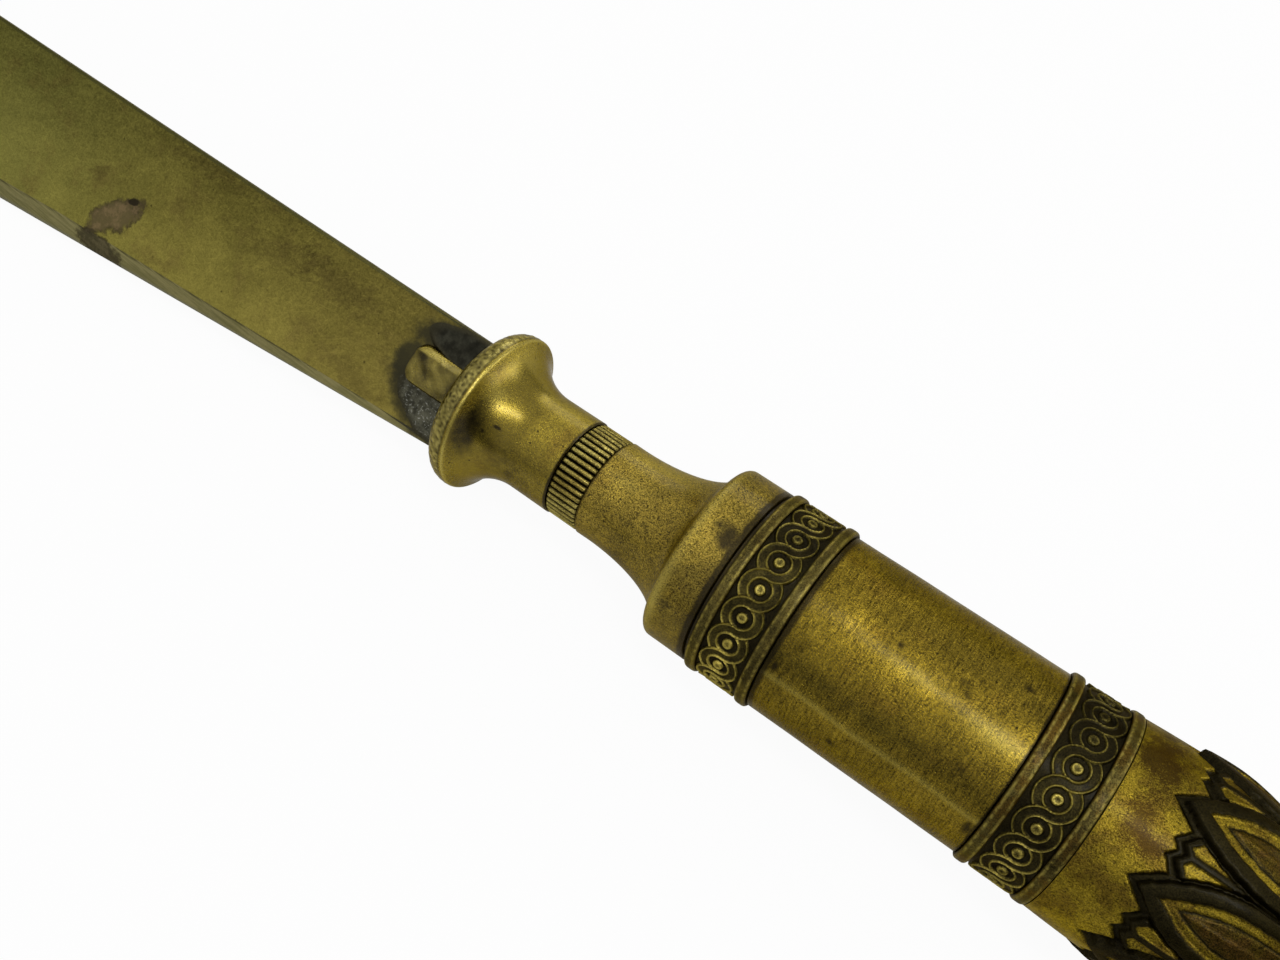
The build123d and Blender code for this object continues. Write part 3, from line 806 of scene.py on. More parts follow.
def bolster_profile(flange):
    """Rounded rim, lip, trumpet, neck, hidden nose and face of the bolster."""
    rim_run = 2.1
    turn = np.linspace(0, math.pi / 2, 24)
    rim = [
        (FLANGE_FACE + rim_run - rim_run * math.cos(a), RIM_INNER_R + (flange - RIM_INNER_R) * math.sin(a))
        for a in turn
    ]
    edge, end = FLANGE_FACE + 2.8, TRUMPET_END
    drop = flange - NECK_R
    curve = ((end - edge) ** 2 + drop**2) / (2 * drop)
    run = np.linspace(edge + 0.14, end, 26)
    trumpet = [(u, NECK_R + curve - math.sqrt(curve**2 - (end - u) ** 2)) for u in run]
    share = np.linspace(0, 1, 11)[:-1, None]
    corner = np.array(((edge - 0.3, flange), (edge, flange), trumpet[0]))
    lip = (1 - share) ** 2 * corner[0] + 2 * share * (1 - share) * corner[1] + share**2 * corner[2]
    neck = [(11.5, NECK_R), (COLLAR_START - 0.12, 5.66), (COLLAR_START, 5.5)]
    nose = [(COLLAR_START, NOSE_R), (NOSE_END, NOSE_R), (NOSE_END, ROD_BORE_R)]
    slot = [(7.0, ROD_BORE_R), (7.0, SLOT_R)]
    face = [(FLANGE_FACE, SLOT_R), (FLANGE_FACE, 6.6), (FLANGE_FACE, 7.0)]
    return np.array(rim + lip.tolist() + trumpet + neck + nose + slot + face)


def rim_grain(shape):
    """Fine stipple between 0 and 1 over a grid of points, the same on every run."""
    grain = np.random.default_rng(71).normal(size=shape)
    for axis in (0, 1):
        grain = grain + 0.6 * (np.roll(grain, 1, axis) + np.roll(grain, -1, axis))
    return np.clip(0.5 + 0.22 * grain / grain.std(), 0, 1)


def on_rim(station, radius):
    """1 on the stippled rim of the flange, 0 elsewhere."""
    return ((station < FLANGE_FACE + 2.45) & (radius > 6.95)).astype(float)


def bolster_shape(station, radius, angle):
    """Stippled rim of the flange."""
    return radius + 0.08 * (rim_grain(radius.shape) - 0.5) * on_rim(station, radius)


def bolster_marks(station, radius, angle):
    """Stippled rim, painted highlights on the lip edge, bell and neck, polished trumpet, tarnished patches,
    pits, painted shade behind the rim, a dark line before the lip and darkening against the collar.
    """
    outside = radius > 5.3
    at_edge = radius > 8.9
    edge = FLANGE_FACE + 2.75
    # Dark marks behind the rim: the broad ones are painted shade, a dark reflection under the lip; the small
    # ones are pits
    behind = (
        (4.2, 17, 1.2, 3.7, 0.75),
        (4.9, 22, 1.2, 1.6, 0.3),
        (6.5, 3, 0.45, 0.22, 1.0),
        (5.4, 12, 0.3, 0.3, 0.7),
        (8.4, 44, 3.0, 2.4, 0.32),
    )
    # Painted highlights on the top of the bell, the top of the neck and beside the trumpet's highlight
    worn_and_painted_light = ((4.2, -66, 1.4, 3.0, 0.28), (10.2, -68, 4.0, 1.7, 0.26), (4.9, -19, 0.7, 1.3, 0.35))
    tanned = (
        (9.6, -56, 2.6, 2.4, 0.3),
        (7.8, -66, 1.2, 2.0, 0.4),
        (4.9, 46, 1.6, 2.4, 0.3),
        (4.4, 5, 1.0, 2.0, 0.5),
        (4.0, -40, 1.1, 2.2, 0.45),
        (7.4, 26, 2.2, 2.6, 0.75),
        (9.4, 44, 4.4, 3.2, 0.95),
    )
    # Darker at the neck's end against the collar
    grime_and_shade = smudges(station, angle, radius, behind) + 0.7 * smooth(13.7, 14.1, station)
    # A dark line on the rim just before the lip
    groove = 0.75 * bell(station - edge + 0.36, 0.13) * at_edge
    # Painted highlight: a glint along the lip edge
    lip = bell(station - edge, 0.14) * at_edge
    return {
        "rim": on_rim(station, radius),
        "stipple": rim_grain(radius.shape),
        "rubbed_and_painted_light": np.maximum(lip, smudges(station, angle, radius, worn_and_painted_light) * outside),
        "polish": smooth(edge + 0.2, edge + 1.2, station) * smooth(9.5, 8.0, station) * outside,
        "grime_and_shade": np.maximum(grime_and_shade * outside * (station > edge + 0.1), groove),
        "tarnish_and_shade": smudges(station, angle, radius, tanned) * outside,
    }


def langet(name, facing, material):
    """Tongue of the bolster on a blade face, round at its end, with a painted highlight along its spine-side
    facet, dark mottles on its top and painted shade at its foot and against the flange.
    """
    end, half, corner = 9.05, 2.6, 1.6
    u = np.linspace(1.0, -9.2, 84)[:, None]
    y = np.linspace(-2.7, 2.7, 64)[None, :]
    past = np.hypot(np.clip(-u - end + corner, 0, None), np.clip(np.abs(y) - half + corner, 0, None))
    inset = corner - past
    facet = np.clip((2.75 - y) / 1.35, 0, 1)
    height = 1.5 * smooth(0.0, 0.5, inset) * facet * (0.72 + 0.28 * smooth(-9.2, -6.4, u))
    skin = smooth(0.7, 1.1, height)
    height = height + (0.10 * ripple(u * 1.6, y * 1.6, 9) + 0.04 * ripple(u * 5, y * 5, 10)) * skin
    patchy = np.clip(0.25 + (0.5 + 0.5 * ripple(u * 1.1, y * 1.1, 16)), 0, 0.75)
    # Painted highlight along the spine-side facet, strongest towards the end
    rubbed_and_painted_light = smooth(1.4, 1.65, y) * smooth(2.5, 2.2, y) * smooth(0.1, 0.5, inset) * patchy
    rubbed_and_painted_light = rubbed_and_painted_light * (0.2 + 0.8 * smooth(-4.0, -5.6, u))
    grime_and_shade = (0.36 + 0.3 * ripple(u * 1.2, y * 1.4, 15)) * skin * smooth(1.6, 1.2, y)
    # Painted shade round the low foot of the tongue and where it meets the flange
    grime_and_shade = np.maximum(grime_and_shade, 0.8 * smooth(0.5, 0.15, height)) + 0.6 * smooth(-0.9, 0.1, u)
    olive = np.clip(0.38 + 0.10 * ripple(u * 6, y * 6, 17), 0, 1)
    marks = {"rubbed_and_painted_light": rubbed_and_painted_light, "grime_and_shade": grime_and_shade, "rim": 0.7 * skin, "stipple": olive}
    return slab(name, u, y, 0.98 + np.maximum(height, 0.0), 0.88, material, facing, marks)


def slab(name, u, y, top, base, material, facing, marks):
    """Closed piece on a blade face, between a grid of heights and a flat base, with marks on its top."""
    rows, columns = top.shape
    count = rows * columns
    points = [on_handle(u + 0 * y, y + 0 * u, facing * level) for level in (top, base + 0 * top)]
    marks = {key: np.append(values, np.zeros(count)) for key, values in marks.items()}
    faces = grid_faces(rows, columns)
    lower = [[k + count for k in reversed(face)] for face in faces]
    border = (
        [(i, 0) for i in range(rows)]
        + [(rows - 1, j) for j in range(1, columns)]
        + [(i, columns - 1) for i in range(rows - 2, -1, -1)]
        + [(0, j) for j in range(columns - 2, 0, -1)]
    )
    ring = [i * columns + j for i, j in border]
    walls = [[a, b, b + count, a + count] for a, b in zip(ring, ring[1:] + ring[:1])]
    faces = faces + lower + walls
    if facing < 0:
        faces = turned_over(faces)
    return add_piece(name, np.stack(points), faces, material, marks)


def join(parts):
    """Join pieces into the first of them."""
    with bpy.context.temp_override(active_object=parts[0], object=parts[0], selected_editable_objects=parts):
        bpy.ops.object.join()


class OPENER_OT_solder(bpy.types.Operator):
    """Leave the solder banks beside the langets"""

    bl_idname = "opener.solder"
    bl_label = "Solder"

    def execute(self, context):
        material = solder_finish()
        for node, facing in (("front_solder", 1), ("back_solder", -1)):
            take_place(solder_pool(node, facing, material), node)
        return {"FINISHED"}


def solder_pool(name, facing, material):
    """Thin pool of solder round a langet, banked up against it and against the flange."""
    u = np.linspace(0.5, -11.8, 88)[:, None]
    y = np.linspace(-6.9, 6.1, 96)[None, :]
    spine_pool = np.hypot((u + 3.4) / 5.9, (y - 4.0) / 2.2)
    belly_pool = np.hypot((u + 4.0) / 5.6, (y + 4.0 + 0.25 * (u + 4)) / 2.7)
    edge = np.minimum(spine_pool, belly_pool) + 0.04 * ripple(u * 1.1, y * 1.3, 11)
    inside = smooth(1.04, 0.86, edge)
    beside = np.clip(np.abs(y) - 2.3, 0, None)
    bank = 0.8 * np.exp(u / 1.6) + 0.5 * np.exp(-beside / 0.8) * smooth(-9.2, -8.0, u)
    lumps = np.where(y > 0, 0.02, 0.07) * ripple(u * 3.2, y * 3.2, 13) + 0.02 * ripple(u * 8, y * 8, 14)
    height = inside * (0.06 + bank + lumps) - 0.07 * (1 - inside)
    return slab(name, u, y, 1.0 + height, 0.85, material, facing, {"thin": smooth(0.66, 0.94, edge)})


# Handle


def ring_tree(name, material):
    """Node tree that repeats a tile round the handle axis and closes the seams."""
    tree = bpy.data.node_groups.new(name, "GeometryNodeTree")
    for label, side, kind, value in (
        ("Geometry", "INPUT", "NodeSocketGeometry", None),
        ("Count", "INPUT", "NodeSocketInt", 12),
        ("Axis", "INPUT", "NodeSocketVector", tuple(ALONG)),
        ("Axis point", "INPUT", "NodeSocketVector", tuple(AXIS_START * MM)),
        ("Geometry", "OUTPUT", "NodeSocketGeometry", None),
    ):
        socket = tree.interface.new_socket(label, in_out=side, socket_type=kind)
        if value is not None:
            socket.default_value = value
    start = add_node(tree, "NodeGroupInput").outputs
    tile = add_node(tree, "GeometryNodeGeometryToInstance", {0: start["Geometry"]}).outputs[0]
    wanted = {"Geometry": tile, "Amount": start["Count"]}
    copies = add_node(tree, "GeometryNodeDuplicateElements", wanted, domain="INSTANCE").outputs
    pitch = add_node(tree, "ShaderNodeMath", {0: 2 * math.pi, 1: start["Count"]}, operation="DIVIDE")
    steps = {0: copies["Duplicate Index"], 1: pitch.outputs[0]}
    angle = add_node(tree, "ShaderNodeMath", steps, operation="MULTIPLY").outputs[0]
    turn = add_node(tree, "FunctionNodeAxisAngleToRotation", {"Axis": start["Axis"], "Angle": angle})
    spin = {"Instances": copies["Geometry"], "Rotation": turn.outputs[0]}
    spin.update({"Pivot Point": start["Axis point"], "Local Space": False})
    ring = add_node(tree, "GeometryNodeRotateInstances", spin).outputs[0]
    real = add_node(tree, "GeometryNodeRealizeInstances", {0: ring}).outputs[0]
    merged = add_node(tree, "GeometryNodeMergeByDistance", {"Geometry": real, "Distance": 4e-6}).outputs[0]
    painted = add_node(tree, "GeometryNodeSetMaterial", {"Geometry": merged, "Material": material})
    add_node(tree, "NodeGroupOutput", {0: painted.outputs[0]})
    return tree


def repeat_round(tile, count, material, crease=60.0):
    """Plain mesh of a tile repeated round the handle axis."""
    tree = ring_tree(f"{tile.name}_round", material)
    modifier = tile.modifiers.new("round", "NODES")
    modifier.node_group = tree
    for item in tree.interface.items_tree:
        if item.in_out == "INPUT" and item.name == "Count":
            modifier[item.identifier] = count
    evaluated = tile.evaluated_get(bpy.context.evaluated_depsgraph_get())
    mesh = bpy.data.meshes.new_from_object(evaluated)
    tile.modifiers.clear()
    tile.data = mesh
    finish_mesh(mesh, crease)
    return tile


def section_ring(name, station, outer, inside, angles, count, material, marks):
    """Ring of repeated strips: outer radii and marks by angle and station, and one inner line for all."""
    inside = np.array(inside)
    inner = np.repeat(inside[:, 1][None, :], len(angles), axis=0)
    radius = np.concatenate((outer, inner), axis=1)
    run = np.concatenate((station, inside[:, 0]))[None, :] + 0 * radius
    values = {key: np.append(shown, hidden + 0 * inner, axis=1) for key, (shown, hidden) in marks.items()}
    points = round_axis(run, radius, angles[:, None] + 0 * radius)
    faces = turned_over(grid_faces(*radius.shape, close_columns=True))
    tile = add_piece(name, points, faces, material, values, 60.0)
    return repeat_round(tile, count, material)


class OPENER_OT_reeded_collar(bpy.types.Operator):
    """Cut the reeds round the collar"""

    bl_idname = "opener.reeded_collar"
    bl_label = "Reeded collar"

    def execute(self, context):
        reeds = context.scene.opener_sizes.reeds
        across = np.linspace(-0.5, 0.5, 13)
        angles = across * (2 * math.pi / reeds)
        root_r, reed_height, roundness = 5.12, 0.42, 0.62
        reed = np.cos(across * math.pi) ** roundness
        ends = np.array((0.0, 0.12, 0.3, 3.7, 3.88, COLLAR_WIDTH))
        lift = np.array((0.2, 0.75, 1.0, 1.0, 0.75, 0.2))
        outer = root_r + reed_height * reed[:, None] * lift[None, :]
        inside = ((COLLAR_START + COLLAR_WIDTH, COLLAR_BORE_R), (COLLAR_START, COLLAR_BORE_R))
        marks = {"worn_and_painted_light": (0.95 * reed[:, None] ** 3 * np.ones((1, len(ends))), 0.0)}
        material = carved_finish("reed_brass", REED_TOP, REED_SIDE)
        piece = section_ring(
            "reeded_collar", COLLAR_START + ends, outer, inside, angles, reeds, material, marks
        )
        take_place(piece, "reeded_collar")
        return {"FINISHED"}


class OPENER_OT_shoulder_ferrule(bpy.types.Operator):
    """Turn the concave ferrule with its rounded shoulder"""

    bl_idname = "opener.shoulder_ferrule"
    bl_label = "Shoulder ferrule"

    def execute(self, context):
        wide, flare_start, flare_run, flare_drop = 9.1, 19.6, 10.5, 3.5
        edge_run, edge_rise = 0.9, 0.95
        hollow = np.linspace(0, 1.5, 26)
        flare = [(flare_start + flare_run * math.sin(a), wide - flare_drop * math.cos(a)) for a in hollow]
        bend = np.linspace(0.2, 1.57, 8)
        shoulder = [(SHOULDER_START - edge_run * math.cos(a), wide + edge_rise * math.sin(a)) for a in bend]
        back = [(33.0, SHOULDER_R), (35.3, SHOULDER_R), (35.42, 9.95), (35.5, 9.7), (UPPER_BAND_START, 9.7)]
        spigot = [(UPPER_BAND_START, SPIGOT_R), (FRONT_SPIGOT_END, SPIGOT_R), (FRONT_SPIGOT_END, ROD_BORE_R)]
        bore = [(NOSE_END + 0.05, ROD_BORE_R), (NOSE_END + 0.05, COLLAR_BORE_R)]
        front = [(FERRULE_START, COLLAR_BORE_R), (FERRULE_START, 5.5), (FERRULE_START + 0.15, 5.62)]
        profile = refine(np.array(front + flare + shoulder + back + spigot + bore), 0.35, 5.0)
        brass = context.scene.opener_finish.turned_brass
        material = turned_finish("ferrule_brass", brass, grain=1.4, marks=0.2, spots=0.35, coat=0.12)
        piece = turned("shoulder_ferrule", profile, material, attributes=ferrule_marks)
        take_place(piece, "shoulder_ferrule")
        return {"FINISHED"}


def ferrule_marks(station, radius, angle):
    """Dirt and painted shade beside the band, darkening against the collar, dirt in patches on the shoulder,
    tarnished patches, a painted highlight along the shoulder edge and painted light on the flare.
    """
    outside = radius > 5.4
    patches = ((34.0, -22, 1.3, 1.6, 0.85), (32.8, -26, 1.0, 1.0, 0.62), (32.0, 30, 0.8, 1.0, 0.5))
    # Painted highlight along the rounded shoulder edge
    edge = ((30.8, 30, 0.55, 5.5, 0.75), (30.9, -40, 0.4, 8.0, 0.4))
    # Painted light: the top of the flare and a strip near its front made brighter
    worn_and_painted_light = ((23.5, -70, 5.0, 2.2, 0.38), (21.0, -24, 2.6, 0.8, 0.22))
    browned = (
        (33.0, 6, 2.0, 4.5, 0.5),
        (32.8, 30, 2.2, 3.0, 0.5),
        (33.6, -30, 1.6, 3.0, 0.35),
        (24.0, 66, 5.0, 2.4, 0.6),
    )
    grime_and_shade = smudges(station, angle, radius, patches)
    # Painted shade and dirt in the gap against the front fillet
    grime_and_shade = np.maximum(grime_and_shade, 0.85 * smooth(34.6, 35.3, station) + 0.38 * smooth(33.2, 35.0, station))
    # Darker at the front end against the collar
    grime_and_shade = np.maximum(grime_and_shade, 0.6 * smooth(18.6, 18.2, station))
    corner = smudges(station, angle, radius, edge) * (radius > 9.2)
    return {
        "grime_and_shade": grime_and_shade * outside,
        "rubbed_and_painted_light": np.maximum(corner, smudges(station, angle, radius, worn_and_painted_light) * outside),
        "tarnish_and_shade": smudges(station, angle, radius, browned) * outside,
    }


class OPENER_OT_band_fillets(bpy.types.Operator):
    """Turn the four plain rings of the bands"""

    bl_idname = "opener.band_fillets"
    bl_label = "Band fillets"

    def execute(self, context):
        base = context.scene.opener_finish.olive_brass
        outer = context.scene.opener_sizes.fillet_radius / MM
        for band, start, pale, brown in (
            ("upper", UPPER_BAND_START, 1.0, 0.25),
            ("lower", LOWER_BAND_START, 0.8, 0.9),
        ):
            bright, dull = tint(base, pale), tint(base, 0.6 * pale)
            material = carved_finish(f"{band}_fillet_brass", bright, dull, 0.6, brown)
            for which, place in (("front", start), ("back", start + FILLET_WIDTH + BAND_WIDTH)):
                square = ring_section(place, place + FILLET_WIDTH, BORE_R, outer)
                profile = refine(soften(square, 0.45, 6), 0.3)
                worn_and_painted_light = fillet_wear_and_highlights(place + FILLET_WIDTH / 2, outer)
                name = f"{band}_{which}_fillet"
                take_place(turned(name, profile, material, 224, attributes=worn_and_painted_light), name)
        return {"FINISHED"}


def fillet_wear_and_highlights(middle, outer):
    """Marks of a fillet: patchy wear, brighter towards both edges, with a painted highlight line along each
    edge.
    """

    def marks(station, radius, angle):
        off = np.abs(station - middle)
        edge = smooth(0.30, 0.52, off) * smooth(outer - 0.4, outer - 0.1, radius)
        # Painted highlight: a thin bright line along each edge
        line = bell(off - 0.40, 0.10) * (radius > outer - 0.25)
        patch = 0.55 + 0.14 * ripple(9 * np.cos(angle), 9 * np.sin(angle) + station, 21)
        worn_and_painted_light = np.clip(patch * (radius > outer - 0.3) + 0.5 * edge, 0, 1)
        return {"worn_and_painted_light": worn_and_painted_light, "bare_and_highlight": 0.7 * line}

    return marks


class OPENER_OT_guilloche_bands(bpy.types.Operator):
    """Plait the two guilloche bands round their eyes"""

    bl_idname = "opener.guilloche_bands"
    bl_label = "Guilloche bands"

    def execute(self, context):
        sizes = context.scene.opener_sizes
        bright = context.scene.opener_finish.bright_brass
        # Painted shade: the plait's relief is made darker towards the spine side
        material = carved_finish("guilloche_brass", bright, tint(bright, 0.62), 0.5, spine_side_shade=0.55)
        pitch = 2 * math.pi / sizes.eyes
        across = np.linspace(-0.5, 0.5, 49)
        along = np.linspace(0.0, BAND_WIDTH, 74)
        arc = across[:, None] * pitch * PLAIT_R
        for band, start, eye, turn, bare_and_highlight in (
            ("upper", UPPER_BAND_START + FILLET_WIDTH, 39.4, -8.7, 1.0),
            ("lower", LOWER_BAND_START + FILLET_WIDTH, 70.6, -5.3, 0.7),
        ):
            height, worn_and_painted_light = plait(arc, (start + along - eye)[None, :], pitch * PLAIT_R)
            outer = BAND_R + sizes.band_relief / MM * height
            inside = ((start + BAND_WIDTH, BORE_R), (start, BORE_R))
            angles = across * pitch + math.radians(turn)
            name = f"{band}_guilloche_band"
            marks = {"worn_and_painted_light": (bare_and_highlight * worn_and_painted_light, 0.0)}
            piece = section_ring(name, start + along, outer, inside, angles, sizes.eyes, material, marks)
            take_place(piece, name)
        return {"FINISHED"}


def plait(arc, along, pitch):
    """Height and brightness of wear of a two-strand plait whose eyes stand a pitch apart."""
    arc, along = np.broadcast_arrays(arc, along)
    height = np.zeros(arc.shape)
    worn_and_painted_light = np.zeros(arc.shape)
    order = np.where(along[..., None] > 0, (2, 1, 0, -1, -2), (-2, -1, 0, 1, 2))
    for layer in range(5):
        reach = np.hypot(arc - order[..., layer] * pitch, along)
        inside = (reach > 1.02) & (reach < 2.20)
        lines = bell(reach - 1.19, 0.09) + bell(reach - 2.07, 0.09)
        strand = 0.35 * smooth(1.0, 1.15, reach) * smooth(2.22, 2.1, reach) + 0.6 * lines
        height = np.where(inside, strand, height)
        worn_and_painted_light = np.where(inside, 0.17 + 0.85 * lines, worn_and_painted_light)
    eye = 0.62
    for k in (-1, 0, 1):
        reach = np.hypot(arc - k * pitch, along)
        disc = smooth(eye, 0.44, reach) - 0.22 * smooth(0.40, 0.0, reach)
        height = np.where(reach < eye, 0.95 * disc, height)
        rubbed_and_painted_light = 0.34 + 0.46 * smooth(0.12, 0.42, reach)
        worn_and_painted_light = np.where(reach < eye, rubbed_and_painted_light * smooth(eye, 0.48, reach), worn_and_painted_light)
    return height, worn_and_painted_light


class OPENER_OT_barrel(bpy.types.Operator):
    """Turn the plain barrel with the dents of long use"""

    bl_idname = "opener.barrel"
    bl_label = "Barrel"

    def execute(self, context):
        outer = context.scene.opener_sizes.barrel_radius / MM
        square = ring_section(BARREL_START, LOWER_BAND_START, BORE_R, outer)
        profile = refine(soften(square, 0.2), 0.3)
        brass = context.scene.opener_finish.barrel_brass
        material = turned_finish("barrel_brass", brass, grain=0.9, shine=0.09, marks=1.1, spots=0.25)
        piece = turned("barrel", profile, material, 256, barrel_shape, barrel_marks)
        take_place(piece, "barrel")
        return {"FINISHED"}


def barrel_shape(station, radius, angle):
    """Shallow dents, swells, a ridge of wear and waviness of the barrel's skin."""
    level, upright = 4 * np.cos(angle), 4 * np.sin(angle)
    waves = 0.02 * ripple(level + 0.35 * station, upright, 31)
    waves = waves + 0.01 * ripple(3 * level, 3 * upright + 0.9 * station, 32)
    for sign, mark in (
        (-1, (59.2, -29, 1.0, 0.8, 0.10)),
        (-1, (59.9, -40, 0.8, 0.9, 0.08)),
        (-1, (57.5, -22, 0.9, 0.6, 0.06)),
        (-1, (56.0, 4, 4.0, 2.0, 0.08)),
        (1, (46.0, -38, 8.0, 3.0, 0.14)),
        (1, (68.0, 3, 8.0, 3.0, 0.12)),
    ):
        waves = waves + sign * smudges(station, angle, radius, (mark,))
    off_ridge = barrel_ridge(station, radius, angle)
    ridge = (0.09 + 0.03 * np.sin(station)) * bell(off_ridge, 0.6)
    waves = waves + ridge - 0.05 * bell(off_ridge + 1.8, 1.2)
    return radius + np.where(radius > 9.5, waves, 0.0)


def barrel_ridge(station, radius, angle):
    """Distance round the barrel from the ridge of wear that runs along it."""
    turn = angle - np.radians(28.6 + 0.5 * np.sin(0.5 * station))
    return ((turn + math.pi) % (2 * math.pi) - math.pi) * radius


def barrel_marks(station, radius, angle):
    """Dirt and painted shade against the bands, dark spots, tarnished patches, painted shade beside the
    ridge, a painted highlight along the ridge and painted gleams of the barrel.
    """
    spots = (
        (52.7, -26, 0.5, 0.4, 0.8),
        (59.0, -29, 1.1, 0.5, 0.5),
        (59.8, -24, 0.5, 0.7, 0.6),
        (62.9, 10, 1.0, 0.8, 0.5),
        (64.0, -47, 0.7, 0.5, 0.7),
        (44.3, 22, 0.4, 0.6, 0.9),
        (66.0, 37, 0.5, 1.2, 0.8),
        (52.0, 45, 0.5, 0.5, 0.7),
        (47.5, 33, 2.0, 0.8, 0.22),
    )
    tanned = (
        (58, -66, 12, 4.5, 0.5),
        (59, -45, 9, 2.0, 0.45),
        (62.5, 8, 3.0, 2.5, 0.35),
        (49, 60, 8, 4, 0.3),
        (44.8, -18, 2.6, 3.2, 0.6),
    )
    # Painted highlights: gleams on the barrel's streak near the lower band and mid-barrel
    gleam = ((64.2, -14, 3.2, 0.9, 0.34), (55.5, -17, 4.0, 0.7, 0.16))
    skin = radius > 9.5
    front, back = station - BARREL_START, LOWER_BAND_START - station
    # Painted shade and dirt against the bands
    ends = 0.9 * smooth(0.75, 0.2, front) + 0.36 * smooth(1.8, 0.5, front) + 0.85 * smooth(0.45, 0.1, back)
    off_ridge = barrel_ridge(station, radius, angle)
    # Painted highlight along the ridge
    ridge = 0.36 * bell(off_ridge, 0.38)
    # Painted shade in the shallow trough beside the ridge
    beside = (0.95 - 0.35 * smooth(54, 62, station)) * bell(off_ridge + 2.2, 1.35)
    return {
        "grime_and_shade": np.maximum(smudges(station, angle, radius, spots), ends) * skin,
        "rubbed_and_painted_light": np.maximum(ridge, smudges(station, angle, radius, gleam)) * skin,
        "tarnish_and_shade": np.maximum(smudges(station, angle, radius, tanned), beside) * skin,
    }


class OPENER_OT_leaf_pommel(bpy.types.Operator):
    """Carve the leaves round the pommel"""

    bl_idname = "opener.leaf_pommel"
    bl_label = "Leaf pommel"

    def execute(self, context):
        sizes = context.scene.opener_sizes
        sector = 2 * math.pi / sizes.leaves
        across = np.linspace(-0.5, 0.5, 71)
        runs = ((POMMEL_START, 78.0, 9), (78.0, 91.0, 100), (91.0, WASHER_START, 29))
        station = np.concatenate([np.linspace(a, b, steps + 1)[:-1] for a, b, steps in runs])
        station = np.append(station, WASHER_START)
        lateral = across[:, None] * sector * LEAF_R
        height, gold, rust = leaf_sector(station[None, :] - LEAF_START, lateral, sector * LEAF_R / 2)
        fade = smooth(WASHER_START, WASHER_START - 2.0, station)[None, :]
        outer = bulb_radius(station)[None, :] + sizes.leaf_relief / MM / 0.6 * height * fade
        bore = ((WASHER_START, ROD_BORE_R), (BACK_SPIGOT_END, ROD_BORE_R))
        spigot = ((BACK_SPIGOT_END, SPIGOT_R), (POMMEL_START, SPIGOT_R))
        marks = {"worn_and_painted_light": (gold, 0.5), "rust": (rust, 0.0)}
        base = context.scene.opener_finish.leaf_brass
        # Painted light: the leaves are made lighter towards the belly side
        material = carved_finish("leaf_brass", base, tint(base, 0.7), 0.9, 0.65, POMMEL_STAINS, belly=1.45)
        first_leaf = math.radians(5.1)
        angles = across * sector + first_leaf
        piece = section_ring(
            "leaf_pommel", station, outer, bore + spigot, angles, sizes.leaves, material, marks
        )
        take_place(piece, "leaf_pommel")
        return {"FINISHED"}


def bulb_radius(station):
    """Radius of the pommel under its leaves."""
    rise, front_run = 0.2, 8.5
    fall, back_run = 5.9, 13.85
    opening = (front_run**2 + rise**2) / (2 * rise)
    closing = (back_run**2 + fall**2) / (2 * fall)
    from_crest = station - CREST
    curve = np.where(from_crest < 0, opening, closing)
    return CREST_R - curve + np.sqrt(curve**2 - from_crest**2)


def over(below, above, share):
    """One layer laid over another by a share."""
    return below + (above - below) * share


def leaf_sector(run, lateral, half):
    """Height, brightness of wear and rust of a large leaf with half a small leaf on each side."""
    run, lateral = np.broadcast_arrays(run, lateral)
    free = smooth(half, half - 0.6, np.abs(lateral))
    run = run + 0.07 * ripple(run * 4.0, lateral * 5.0, 41) * free
    side = np.abs(lateral + 0.06 * ripple(run * 5.0, lateral * 4.0, 42) * free)
    away = half - side
    large, small = within_large_leaf(run, side), within_small_leaf(run, away)
    moat, gap = smooth(-0.95, -0.6, np.maximum(large, small)), smooth(-0.5, -0.3, large)
    on_small, on_large = smooth(-0.15, 0.0, small), smooth(-0.12, 0.06, large)
    small_height, small_gold = small_leaf(small, away)
    large_height, large_gold, rust = large_leaf(large, side)
    height = over(-0.35 * moat, small_height, on_small)
    height = over(over(height, -0.3, gap), large_height, on_large)
    gold = over(0.82 * (1 - moat), small_gold, on_small)
    gold = over(gold * (1 - gap), large_gold, on_large)
    return height, np.clip(gold, 0, 1), rust * on_large


def within_large_leaf(run, side):
    """Distance inside the border of the large leaf, less than 0 outside."""
    curve, belly, widest = 13.5, 9.5, 3.9
    arc = widest - curve + np.sqrt(np.clip(curve**2 - (belly - run) ** 2, 0, None))
    width = np.where(run < belly, arc, widest)
    width = np.where(run < 0, 0.9 * run, width)
    lean = np.cos(np.arctan(np.clip((belly - run) / curve, 0, 0.95)))
    return (width - side) * lean


def within_small_leaf(run, away):
    """Distance inside the stepped border of the small leaf, less than 0 outside."""
    peak = 1.2 + 0.8 * np.abs(away - 0.8)
    return np.minimum(run - peak, 2.3 - away)


def small_leaf(inset, away):
    """Height and brightness of wear of the small leaf's rim and field."""
    field = smooth(0.65, 0.9, inset) * smooth(0.22, 0.42, away)
    rim = smooth(0.0, 0.2, inset) * (1 - field)
    return 0.30 * rim + 0.12 * field, 0.05 * rim + 0.74 * field


